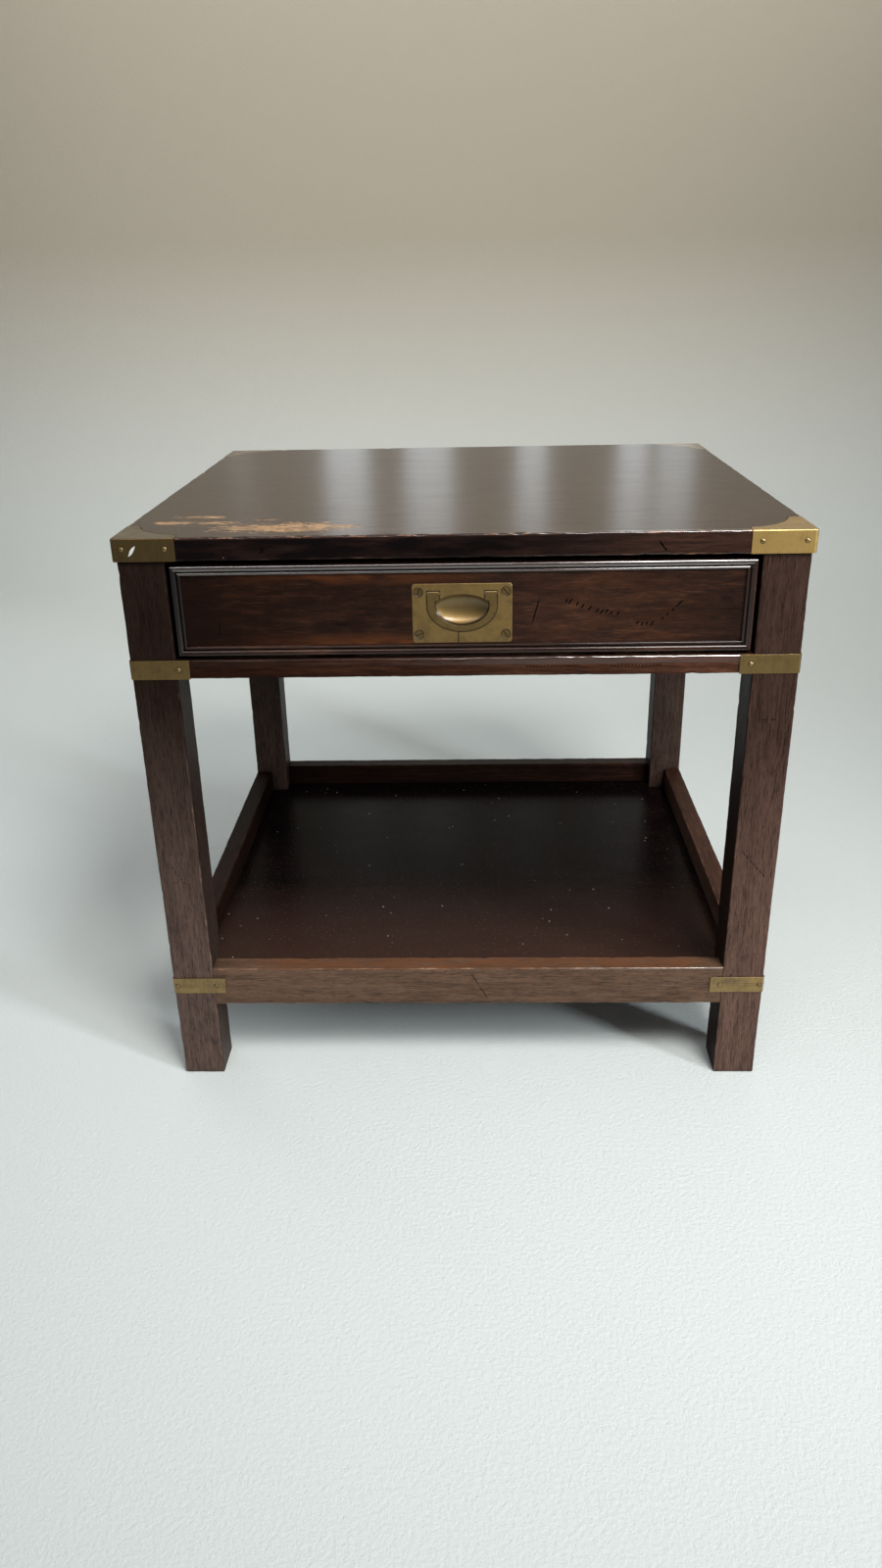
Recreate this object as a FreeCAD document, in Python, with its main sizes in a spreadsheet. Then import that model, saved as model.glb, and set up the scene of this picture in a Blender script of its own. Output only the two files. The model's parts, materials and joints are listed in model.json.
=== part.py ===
"""Campaign side table with one drawer: square legs, a tray shelf between low rails, a drawer
with an applied moulding and a flush bail pull, and brass corners and straps.

Millimetres. The origin is on the floor under the middle of the table, +X is to the right of
a person facing the drawer, the drawer front faces -Y and +Z is up.
"""
import FreeCAD, Part
import os
import re
import Sketcher

SIZES = {
    # top board and its brass corners
    "top_width": 610,
    "top_depth": 558,
    "top_thickness": 20.5,
    "table_height": 573.5,
    "top_corner_round": 3,
    "top_edge_round": 1.2,
    "corner_leaf_length": 56,
    "corner_leaf_thickness": 1.4,
    "corner_leaf_proud": 0.4,
    "corner_scoop_radius": 52,
    "corner_scoop_centre": 64,
    "corner_tip_round": 6,
    # legs and the tenons that enter them
    "leg_size": 42,
    "leg_inset_side": 2.4,
    "leg_inset_front": 2.8,
    "leg_arris": 1.8,
    "foot_chamfer": 1.5,
    "tenon_length": 20,
    "tenon_thickness": 8,
    "tenon_shoulder": 6,
    "mortise_spare": 1,
    # rails and aprons
    "rail_thickness": 21,
    "rail_arris": 1,
    "shelf_rail_bottom": 88,
    "shelf_rail_height": 43,
    "apron_bottom": 444,
    "drawer_rail_height": 18,
    "drawer_rail_shoulder": 4,
    # shelf panel in its grooves
    "shelf_top": 103,
    "shelf_thickness": 10,
    "groove_depth": 6,
    "panel_play": 0.5,
    # drawer ways inside the carcass
    "runner_reach": 20,
    "guide_height": 20,
    "guide_stand": 2,
    "kicker_height": 12,
    "stop_spacing": 100,
    "stop_length": 40,
    "stop_depth": 18,
    "stop_height": 7,
    # brass straps round the legs
    "strap_length": 54,
    "strap_height": 18,
    "strap_thickness": 1,
    "upper_strap_bottom": 444,
    "lower_strap_bottom": 102,
    # round-headed pins and slotted screws
    "pin_head_radius": 2.2,
    "pin_dome": 0.9,
    "pin_shank_radius": 1,
    "pin_length": 12,
    "pin_hole_play": 0.2,
    "corner_pin_inset": 9,
    "corner_pin_drop": 9.5,
    "strap_pin_inset": 10,
    "strap_pin_edge": 4,
    "screw_slot_width": 0.9,
    "screw_slot_depth": 0.8,
    "top_screw_length": 26,
    "top_screw_spacing": 180,
    "bottom_screw_length": 15,
    "bottom_screw_spacing": 160,
    "long_screw_head": 4,
    "long_screw_shank": 2,
    # drawer
    "drawer_width": 515.4,
    "drawer_front_bottom": 465,
    "drawer_front_height": 83,
    "drawer_front_thickness": 18,
    "drawer_field_setback": 3.4,
    "drawer_end": 225,
    "drawer_side_thickness": 11,
    "drawer_side_bottom": 462.3,
    "drawer_side_top": 540,
    "drawer_back_top": 530,
    "drawer_bottom_lift": 473,
    "drawer_bottom_thickness": 6,
    "drawer_groove_depth": 5,
    "dovetail_length": 12,
    "tail_base": 12,
    "tail_tip": 16,
    "tail_pitch": 20,
    "first_tail": 489,
    "pin_base": 9,
    "pin_tip": 5,
    "back_pin_pitch": 20,
    "first_back_pin": 485,
    # moulding round the drawer front
    "moulding_width": 9.4,
    "moulding_band": 5.6,
    "moulding_proud": 3.4,
    "moulding_quirk": 1,
    "moulding_quirk_height": 0.8,
    "moulding_bead_height": 2.4,
    # flush pull
    "pull_height": 502,
    "plate_width": 89,
    "plate_height": 54,
    "plate_thickness": 2.6,
    "plate_proud": 0.6,
    "plate_corner": 3,
    "plate_edge": 0.5,
    "box_half_width": 36,
    "box_low": 20,
    "box_high": 23,
    "box_depth": 12,
    "bail_half_width": 31,
    "bail_inner_half": 24.3,
    "bail_arm_inner": 20,
    "bail_top": 20.2,
    "bail_shoulder": 11.6,
    "bail_bend_centre": 7,
    "bail_bend_drop": 23.4,
    "bail_inner_drop": 18.2,
    "bail_thickness": 3.8,
    "bail_proud": 0.3,
    "bail_end_round": 1.5,
    "bail_play": 0.4,
    "pivot_height": 17.6,
    "pivot_depth": 1.6,
    "pivot_radius": 1.1,
    "pivot_play": 0.05,
    "pivot_pin_start": 17.5,
    "pivot_pin_length": 18,
    "hinge_pocket_depth": 5.2,
    "cup_half_width": 27,
    "cup_half_height": 14.4,
    "cup_depth": 9,
    "cup_centre": 3,
    "seam_offset": 3.5,
    "seam_width": 1.1,
    "seam_depth": 0.6,
    "plate_screw_x": 38.8,
    "plate_screw_z": 19.3,
    "plate_screw_head": 3.75,
    "plate_screw_shank": 1.9,
    "plate_screw_length": 14,
    "plate_screw_sink": 0.35,
    "countersink_play": 0.1,
}

LEFT, RIGHT = -1, 1
FRONT, BACK = -1, 1
SIDE_NAMES = {LEFT: "left", RIGHT: "right"}
END_NAMES = {FRONT: "front", BACK: "back"}
CORNER_TURNS = {(RIGHT, BACK): 0, (LEFT, BACK): 90, (LEFT, FRONT): 180, (RIGHT, FRONT): 270}
X, Y, Z = 0, 1, 2
SAME = 0.001  # two coordinates nearer than this are one place
PULL_SLOT_ANGLES = {(LEFT, -1): 20, (RIGHT, -1): 125, (LEFT, 1): 65, (RIGHT, 1): 130}

# How far the pins of each strap stand from the leg's outer corner.
STRAP_PIN_INSETS = {
    "upper": ["(strap_length - strap_pin_inset)"],
    "lower": ["(strap_length - strap_pin_inset)", "strap_pin_edge"],
}

# Places worked out from the sheet's cells.
OUTER_X = "(top_width / 2 - leg_inset_side)"
OUTER_Y = "(top_depth / 2 - leg_inset_front)"
INNER_X = f"({OUTER_X} - leg_size)"
INNER_Y = f"({OUTER_Y} - leg_size)"
RAIL_BACK_X = f"({OUTER_X} - rail_thickness)"
RAIL_BACK_Y = f"({OUTER_Y} - rail_thickness)"
UNDER_TOP = "(table_height - top_thickness)"
RUNNER_TOP = "(apron_bottom + drawer_rail_height)"
FIELD_Y = f"(-{OUTER_Y} + drawer_field_setback)"
FRONT_BACK_Y = f"({FIELD_Y} + drawer_front_thickness)"
DRAWER_X = "(drawer_width / 2)"
DRAWER_INNER_X = f"({DRAWER_X} - drawer_side_thickness)"
PLATE_Y = f"({FIELD_Y} - plate_proud)"

doc = FreeCAD.newDocument("SideTable")
sheet = doc.addObject("Spreadsheet::Sheet", "Sizes")
for row, (alias, number) in enumerate(SIZES.items(), start=1):
    sheet.set(f"A{row}", alias.replace("_", " "))
    sheet.set(f"B{row}", str(number))
    sheet.setAlias(f"B{row}", alias)
doc.recompute()
nodes = []


def with_sheet(text):
    """An expression in which every alias is written with the sheet's name."""
    return re.sub(r"[a-z_]+", lambda word: f"Sizes.{word[0]}" if word[0] in SIZES else word[0], str(text))


def value(text):
    """The number that an expression gives now."""
    return float(sheet.evalExpression(with_sheet(text)))


def bind(item, **expressions):
    """Binds properties to expressions; a double underscore stands for a dot."""
    for name, text in expressions.items():
        item.setExpression(name.replace("__", "."), with_sheet(text))
    return item


def place(item, at=(0, 0, 0), axis=(0, 0, 1), turn=0):
    item.Placement = FreeCAD.Placement(FreeCAD.Vector(), FreeCAD.Rotation(FreeCAD.Vector(*axis), turn))
    x, y, z = at
    return bind(item, Placement__Base__x=x, Placement__Base__y=y, Placement__Base__z=z)


def node(item, label):
    """Names an object as one of the table's sub-parts."""
    item.Label = label
    nodes.append(item)
    return item


def mirrored_span(side, near, far):
    """The low and high ends of a stretch that runs outwards from near to far on one side."""
    return (near, far) if side > 0 else (f"-({far})", f"-({near})")


def centred(half):
    return (f"-({half})", half)


# ---- PartDesign helpers --------------------------------------------------------------------


def new_body(name, at=(0, 0, 0), turn=0):
    return place(doc.addObject("PartDesign::Body", name), at, turn=turn)


def outline(body, plane, points, lift=0):
    """A closed sketch of straight lines on an origin plane, every corner bound to the sheet."""
    sketch = body.newObject("Sketcher::SketchObject", "outline")
    support = next(item for item in body.Origin.OriginFeatures if item.Role == plane)
    sketch.AttachmentSupport = [(support, "")]
    sketch.MapMode = "FlatFace"
    bind(sketch, AttachmentOffset__Base__z=lift)
    corners = [FreeCAD.Vector(value(across), value(up), 0) for across, up in points]
    count = len(corners)
    for index in range(count):
        sketch.addGeometry(Part.LineSegment(corners[index], corners[(index + 1) % count]))
    for index in range(count):
        sketch.addConstraint(Sketcher.Constraint("Coincident", index, 2, (index + 1) % count, 1))
    for index, (across, up) in enumerate(points):
        for kind, text in (("DistanceX", across), ("DistanceY", up)):
            added = sketch.addConstraint(Sketcher.Constraint(kind, -1, 1, index, 1, value(text)))
            name = f"corner{index}{kind[-1]}"
            sketch.renameConstraint(added, name)
            sketch.setExpression(f"Constraints.{name}", with_sheet(text))
    return sketch


def rectangle(across, up):
    return [(across[0], up[0]), (across[1], up[0]), (across[1], up[1]), (across[0], up[1])]


def raise_from(body, sketch, length, kind="PartDesign::Pad", **options):
    """A pad, or a pocket that cuts the same way as a pad would grow."""
    feature = body.newObject(kind, kind.split("::")[1].lower())
    feature.Profile = sketch
    feature.Reversed = kind.endswith("Pocket")
    bind(feature, Length=length)
    for name, setting in options.items():
        setattr(feature, name, setting)
    return feature


def block(body, xs, ys, zs, kind="PartDesign::Pad"):
    """A box added to a body, or cut from it when kind is a pocket."""
    sketch = outline(body, "XY_Plane", rectangle(xs, ys), lift=zs[0])
    return raise_from(body, sketch, f"({zs[1]}) - ({zs[0]})", kind)


def hollow(body, xs, ys, zs):
    return block(body, xs, ys, zs, "PartDesign::Pocket")


def runs(edge, axis):
    """True for a straight edge along one axis."""
    step = edge.Vertexes[-1].Point - edge.Vertexes[0].Point
    return abs(abs(step[axis]) - edge.Length) < SAME


def lies(edge, axis, text):
    """True when both ends of an edge are at one coordinate."""
    return all(abs(corner.Point[axis] - value(text)) < SAME for corner in edge.Vertexes)


def ease(body, size, wanted, kind="Fillet"):
    """Rounds or chamfers the edges of a body that the test wanted picks."""
    doc.recompute()
    tip = body.Tip
    names = [f"Edge{i}" for i, edge in enumerate(tip.Shape.Edges, start=1) if wanted(edge)]
    feature = body.newObject(f"PartDesign::{kind}", kind.lower())
    feature.Base = (tip, names)
    return bind(feature, **{"Radius" if kind == "Fillet" else "Size": size})


def pin_hole(body, axis, across, height, leaf):
    """A hole through the upright leaf that faces along axis X or Y, for a pin's head."""
    hole = body.newObject("PartDesign::SubtractiveCylinder", "pin_hole")
    bind(hole, Radius="pin_head_radius + pin_hole_play", Height=f"4 * {leaf}")
    behind = f"-2 * {leaf}"
    spot = (across, behind) if axis == Y else (behind, across)
    lean = FreeCAD.Vector(-1, 0, 0) if axis == Y else FreeCAD.Vector(0, 1, 0)
    hole.Placement = FreeCAD.Placement(FreeCAD.Vector(), FreeCAD.Rotation(lean, 90))
    bind(hole, Placement__Base__x=spot[0], Placement__Base__y=spot[1], Placement__Base__z=height)
    return hole


# ---- Part helpers --------------------------------------------------------------------------


def box(xs, ys, zs, name="box"):
    item = doc.addObject("Part::Box", name)
    bind(item, Length=f"({xs[1]}) - ({xs[0]})", Width=f"({ys[1]}) - ({ys[0]})")
    bind(item, Height=f"({zs[1]}) - ({zs[0]})")
    return place(item, (xs[0], ys[0], zs[0]))


def cylinder(radius, height, at=(0, 0, 0), axis=(0, 0, 1), turn=0):
    item = bind(doc.addObject("Part::Cylinder", "cylinder"), Radius=radius, Height=height)
    return place(item, at, axis, turn)


def cone(low_radius, high_radius, height, at):
    item = doc.addObject("Part::Cone", "cone")
    bind(item, Radius1=low_radius, Radius2=high_radius, Height=height)
    return place(item, at)


def joined(shapes, name="joined"):
    item = doc.addObject("Part::MultiFuse", name)
    item.Shapes = shapes
    return item


def cut(base, tool, name="cut"):
    item = doc.addObject("Part::Cut", name)
    item.Base = base
    item.Tool = tool
    return item


def common(first, second, name="common"):
    item = doc.addObject("Part::Common", name)
    item.Base = first
    item.Tool = second
    return item


def group(label, members):
    """Separate solids of one kind, kept as one sub-part."""
    item = doc.addObject("Part::Compound", label)
    item.Links = members
    return node(item, label)


def pin(at, axis, turn, leaf):
    """A round-headed pin along -Z before it is turned: its seat is at the origin, its head
    fills a leaf of the thickness given and domes above it."""
    head = cylinder("pin_head_radius", leaf)
    dome = doc.addObject("Part::Ellipsoid", "dome")
    bind(dome, Radius1="pin_dome", Radius2="pin_head_radius", Radius3="pin_head_radius")
    dome.Angle1 = 0
    place(dome, (0, 0, leaf))
    shank = cylinder("pin_shank_radius", "pin_length", (0, 0, "-pin_length"))
    return place(joined([head, dome, shank], "pin"), at, axis, turn)


def screw(head, shank, length, at, axis=(0, 0, 1), turn=0, slot_turn=0):
    """A countersunk slotted screw along -Z before it is turned, with its head's face at the
    origin."""
    neck = f"({head} - {shank})"
    body = cylinder(shank, f"{length} - {neck} - {shank}", (0, 0, f"-({length}) + {shank}"))
    point = cone(0.2, shank, shank, (0, 0, f"-({length})"))
    top = cone(shank, head, neck, (0, 0, f"-{neck}"))
    blank = joined([top, body, point])
    slot = doc.addObject("Part::Compound", "slot")
    slot.Links = [box(centred(f"{head} + 1"), centred("screw_slot_width / 2"), ("-screw_slot_depth", 1))]
    return place(cut(blank, place(slot, turn=slot_turn), "screw"), at, axis, turn)


# ---- top -----------------------------------------------------------------------------------


def brass_corner(side, end):
    """Three leaves over one corner of the top. Its frame has the board's corner at the
    origin, the board towards -X and -Y, and the board's face at z 0."""
    label = f"brass_corner_{END_NAMES[end]}_{SIDE_NAMES[side]}"
    at = (f"{side} * top_width / 2", f"{end} * top_depth / 2", "table_height")
    body = new_body(label, at, CORNER_TURNS[side, end])
    reach = ("-corner_leaf_length", "corner_leaf_proud")
    behind = "corner_leaf_proud - corner_leaf_thickness"
    block(body, reach, reach, ("-top_thickness", 0))
    ease(body, "top_corner_round", lambda e: runs(e, Z) and lies(e, X, reach[1]) and lies(e, Y, reach[1]))
    ease(
        body,
        "top_edge_round",
        lambda e: lies(e, Z, 0) and not lies(e, X, reach[0]) and not lies(e, Y, reach[0]),
    )
    under = ("-corner_leaf_length - 1", behind)
    hollow(body, under, under, ("-top_thickness", "-corner_leaf_thickness"))
    scoop = body.newObject("PartDesign::SubtractiveCylinder", "scoop")
    bind(scoop, Radius="corner_scoop_radius", Height="3 * corner_leaf_thickness")
    centre = "-corner_scoop_centre"
    bind(scoop, Placement__Base__x=centre, Placement__Base__y=centre)
    bind(scoop, Placement__Base__z="-2 * corner_leaf_thickness")
    far = "-corner_leaf_length"

    def is_tip(edge):
        at_end = lies(edge, X, far) or lies(edge, Y, far)
        at_leaf = lies(edge, X, behind) or lies(edge, Y, behind)
        thin = edge.Length < value("corner_leaf_thickness") + SAME
        return runs(edge, Z) and at_end and thin and not at_leaf

    ease(body, "corner_tip_round", is_tip)
    for across in ("-corner_leaf_length + corner_pin_inset", "-corner_pin_inset"):
        for axis in (X, Y):
            pin_hole(body, axis, across, "-corner_pin_drop", "corner_leaf_thickness")
    return node(body, label)


def top_board(corners):
    """The board, with the brass corners let in flush."""
    blank = new_body("board_blank", (0, 0, UNDER_TOP))
    block(blank, centred("top_width / 2"), centred("top_depth / 2"), (0, "top_thickness"))
    ease(blank, "top_corner_round", lambda e: runs(e, Z))
    ease(blank, "top_edge_round", lambda e: lies(e, Z, "top_thickness"))
    board = blank
    for corner in corners:
        board = cut(board, corner)
    return node(board, "top_board")


def corner_pins():
    """Two pins in each upright leaf of each corner."""
    pins = []
    seat = "corner_leaf_proud - corner_leaf_thickness"
    height = "table_height - corner_pin_drop"
    for side in (LEFT, RIGHT):
        for end in (FRONT, BACK):
            for inset in ("corner_pin_inset", "(corner_leaf_length - corner_pin_inset)"):
                along_x = f"{side} * (top_width / 2 - {inset})"
                along_y = f"{end} * (top_depth / 2 - {inset})"
                face_x = f"{side} * (top_width / 2 + {seat})"
                face_y = f"{end} * (top_depth / 2 + {seat})"
                pins.append(pin((along_x, face_y, height), (-end, 0, 0), 90, "corner_leaf_thickness"))
                pins.append(pin((face_x, along_y, height), (0, side, 0), 90, "corner_leaf_thickness"))
    return group("corner_pins", pins)


# ---- legs, rails and aprons ----------------------------------------------------------------


def leg(side, end):
    """A square leg with mortises for the rails on its two inner faces."""
    label = f"leg_{END_NAMES[end]}_{SIDE_NAMES[side]}"
    half = "leg_size / 2"
    at = (f"{side} * ({OUTER_X} - {half})", f"{end} * ({OUTER_Y} - {half})", 0)
    body = new_body(label, at)
    block(body, centred(half), centred(half), (0, UNDER_TOP))
    ease(body, "leg_arris", lambda e: runs(e, Z))
    ease(body, "foot_chamfer", lambda e: lies(e, Z, 0), "Chamfer")
    deep = f"{half} - tenon_length - mortise_spare"
    towards_x = mirrored_span(-side, deep, half)
    towards_y = mirrored_span(-end, deep, half)
    centre = "(leg_size - rail_thickness) / 2"
    thin = "tenon_thickness / 2"
    beside_x = mirrored_span(side, f"{centre} - {thin}", f"{centre} + {thin}")
    beside_y = mirrored_span(end, f"{centre} - {thin}", f"{centre} + {thin}")
    low = ("shelf_rail_bottom + tenon_shoulder", "shelf_rail_bottom + shelf_rail_height - tenon_shoulder")
    high = ("apron_bottom + tenon_shoulder", f"{UNDER_TOP} - tenon_shoulder")
    hollow(body, towards_x, beside_y, low)
    hollow(body, beside_x, towards_y, low)
    hollow(body, beside_x, towards_y, high)
    if end == BACK:
        hollow(body, towards_x, beside_y, high)
    else:
        wide = centred("leg_size / 2 - tenon_shoulder")
        flat = ("apron_bottom + drawer_rail_shoulder", f"{RUNNER_TOP} - drawer_rail_shoulder")
        hollow(body, towards_x, wide, flat)
    return node(body, label)


def rail(label, along, at, inner, height, grooved_side=0):
    """A rail on edge between two legs, tenoned at both ends. along is X or Y. grooved_side
    is the side, in the rail's own frame, whose face has the shelf's groove."""
    body = new_body(label, at)
    half = "rail_thickness / 2"

    def spans(length, width):
        return (length, width) if along == X else (width, length)

    block(body, *spans(centred(inner), centred(half)), (0, height))
    ease(body, "rail_arris", lambda e: runs(e, along))
    reach = centred(f"{inner} + tenon_length")
    thin = centred("tenon_thickness / 2")
    block(body, *spans(reach, thin), ("tenon_shoulder", f"{height} - tenon_shoulder"))
    if grooved_side:
        face = mirrored_span(grooved_side, f"{half} - groove_depth", half)
        shelf = ("shelf_top - shelf_thickness - shelf_rail_bottom", "shelf_top - shelf_rail_bottom")
        hollow(body, *spans(centred(inner), face), shelf)
    return node(body, label)


def drawer_rail():
    """The flat rail under the drawer front, as deep as the legs."""
    body = new_body("drawer_rail", (0, f"-{OUTER_Y} + leg_size / 2", "apron_bottom"))
    block(body, centred(INNER_X), centred("leg_size / 2"), (0, "drawer_rail_height"))
    ease(body, "rail_arris", lambda e: runs(e, X) and lies(e, Y, "-leg_size / 2"))
    reach = centred(f"{INNER_X} + tenon_length")
    tall = ("drawer_rail_shoulder", "drawer_rail_height - drawer_rail_shoulder")
    block(body, reach, centred("leg_size / 2 - tenon_shoulder"), tall)
    return node(body, "drawer_rail")


def shelf_panel():
    """The shelf, notched round the legs, its edges loose in the rails' grooves."""
    out_x = f"({RAIL_BACK_X} + groove_depth - panel_play)"
    out_y = f"({RAIL_BACK_Y} + groove_depth - panel_play)"
    notch_x = f"({INNER_X} - panel_play)"
    notch_y = f"({INNER_Y} - panel_play)"
    quarter = [(out_x, notch_y), (notch_x, notch_y), (notch_x, out_y)]
    points = list(quarter)
    points += [(f"-{across}", up) for across, up in reversed(quarter)]
    points += [(f"-{across}", f"-{up}") for across, up in quarter]
    points += [(across, f"-{up}") for across, up in reversed(quarter)]
    body = new_body("shelf_panel", (0, 0, "shelf_top - shelf_thickness"))
    raise_from(body, outline(body, "XY_Plane", points), "shelf_thickness")
    return node(body, "shelf_panel")


# ---- drawer ways ---------------------------------------------------------------------------


def drawer_ways(side):
    """The runner under one side of the drawer, the guide beside it and the kicker above."""
    name = SIDE_NAMES[side]
    inside = f"({INNER_X} - runner_reach)"
    points = [
        (inside, f"-{INNER_Y}"),
        (RAIL_BACK_X, f"-{INNER_Y}"),
        (RAIL_BACK_X, INNER_Y),
        (INNER_X, INNER_Y),
        (INNER_X, RAIL_BACK_Y),
        (inside, RAIL_BACK_Y),
    ]
    runner = new_body(f"drawer_runner_{name}", (0, 0, "apron_bottom"))
    points = [(f"{side} * {across}", up) for across, up in points]
    raise_from(runner, outline(runner, "XY_Plane", points), "drawer_rail_height")
    node(runner, f"drawer_runner_{name}")
    guide_x = mirrored_span(side, f"{INNER_X} - guide_stand", RAIL_BACK_X)
    guide_z = (RUNNER_TOP, f"{RUNNER_TOP} + guide_height")
    node(box(guide_x, centred(INNER_Y), guide_z), f"drawer_guide_{name}")
    kicker_x = mirrored_span(side, inside, RAIL_BACK_X)
    kicker_z = (f"{UNDER_TOP} - kicker_height", UNDER_TOP)
    node(box(kicker_x, centred(INNER_Y), kicker_z), f"drawer_kicker_{name}")


def drawer_stops():
    """Two blocks on the drawer rail that the closed drawer front comes to rest against."""
    stops = []
    for side in (LEFT, RIGHT):
        xs = mirrored_span(side, "stop_spacing", "stop_spacing + stop_length")
        ys = (FRONT_BACK_Y, f"{FRONT_BACK_Y} + stop_depth")
        stops.append(box(xs, ys, (RUNNER_TOP, f"{RUNNER_TOP} + stop_height")))
    return group("drawer_stops", stops)


def top_screws():
    """Screws up through the kickers into the board."""
    screws = []
    for side in (LEFT, RIGHT):
        for row in (-1, 0, 1):
            at = (f"{side} * ({INNER_X} + 6)", f"{row} * top_screw_spacing", f"{UNDER_TOP} - kicker_height")
            screws.append(
                screw("long_screw_head", "long_screw_shank", "top_screw_length", at, (1, 0, 0), 180, 30 * row)
            )
    return group("top_screws", screws)


# ---- straps --------------------------------------------------------------------------------


def strap(level, bottom, side, end):
    """A brass angle round a leg's outer corner, over the leg and the ends of two rails. Its
    frame has the leg's outer corner at the origin and the leg towards -X and -Y."""
    label = f"{level}_strap_{END_NAMES[end]}_{SIDE_NAMES[side]}"
    body = new_body(label, (f"{side} * {OUTER_X}", f"{end} * {OUTER_Y}", bottom), CORNER_TURNS[side, end])
    far = "-strap_length"
    out = "strap_thickness"
    points = [(far, 0), (far, out), (out, out), (out, far), (0, far), (0, 0)]
    raise_from(body, outline(body, "XY_Plane", points), "strap_height")
    ease(body, "leg_arris + strap_thickness", lambda e: runs(e, Z) and lies(e, X, out) and lies(e, Y, out))
    ease(body, "leg_arris", lambda e: runs(e, Z) and lies(e, X, 0) and lies(e, Y, 0))
    for across in (f"-{inset}" for inset in STRAP_PIN_INSETS[level]):
        for axis in (X, Y):
            pin_hole(body, axis, across, "strap_height / 2", "strap_thickness")
    return node(body, label)


def strap_pins(level, bottom):
    """The pins in both leaves of the four straps at one level."""
    pins = []
    height = f"{bottom} + strap_height / 2"
    for side in (LEFT, RIGHT):
        for end in (FRONT, BACK):
            for inset in STRAP_PIN_INSETS[level]:
                along_x = f"{side} * ({OUTER_X} - {inset})"
                along_y = f"{end} * ({OUTER_Y} - {inset})"
                at = (along_x, f"{end} * {OUTER_Y}", height)
                pins.append(pin(at, (-end, 0, 0), 90, "strap_thickness"))
                at = (f"{side} * {OUTER_X}", along_y, height)
                pins.append(pin(at, (0, side, 0), 90, "strap_thickness"))
    return group(f"{level}_strap_pins", pins)


# ---- drawer --------------------------------------------------------------------------------


def dovetails(body, kind, count, first, pitch, base_y, tip_y, base, tip, half_width):
    """Wedges in a row, seen from the drawer's side: one sketch each, raised right across."""
    for index in range(count):
        centre = f"({first} + {index} * {pitch})"
        points = [
            (base_y, f"{centre} - {base} / 2"),
            (tip_y, f"{centre} - {tip} / 2"),
            (tip_y, f"{centre} + {tip} / 2"),
            (base_y, f"{centre} + {base} / 2"),
        ]
        low, high = half_width
        raise_from(body, outline(body, "YZ_Plane", points, lift=low), f"({high}) - ({low})", kind)


def front_tails(body, kind, across):
    tip_y = f"({FRONT_BACK_Y} - dovetail_length)"
    sizes = ("first_tail", "tail_pitch", FRONT_BACK_Y, tip_y, "tail_base", "tail_tip")
    dovetails(body, kind, 3, *sizes, across)


def back_pins(body, kind, across):
    start = "(drawer_end - drawer_side_thickness)"
    sizes = ("first_back_pin", "back_pin_pitch", start, "drawer_end", "pin_base", "pin_tip")
    dovetails(body, kind, 3, *sizes, across)


def drawer_front():
    """The front board, socketed for the sides' tails, grooved for the bottom and let in for
    the pull."""
    body = new_body("drawer_front")
    top = "drawer_front_bottom + drawer_front_height"
    block(body, centred(DRAWER_X), (FIELD_Y, FRONT_BACK_Y), ("drawer_front_bottom", top))
    for side in (LEFT, RIGHT):
        front_tails(body, "PartDesign::Pocket", mirrored_span(side, DRAWER_INNER_X, DRAWER_X))
    groove = ("drawer_bottom_lift", "drawer_bottom_lift + drawer_bottom_thickness")
    groove_x = centred(f"{DRAWER_INNER_X} + drawer_groove_depth")
    hollow(body, groove_x, (f"{FRONT_BACK_Y} - drawer_groove_depth", FRONT_BACK_Y), groove)
    recess_x = centred("plate_width / 2")
    recess_z = ("pull_height - plate_height / 2", "pull_height + plate_height / 2")
    hollow(body, recess_x, (FIELD_Y, f"{PLATE_Y} + plate_thickness"), recess_z)
    ease(body, "plate_corner", lambda e: runs(e, Y) and (lies(e, X, recess_x[0]) or lies(e, X, recess_x[1])))
    box_z = ("pull_height - box_low", "pull_height + box_high")
    hollow(body, centred("box_half_width"), (FIELD_Y, f"{PLATE_Y} + box_depth"), box_z)
    return node(body, "drawer_front")


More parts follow.
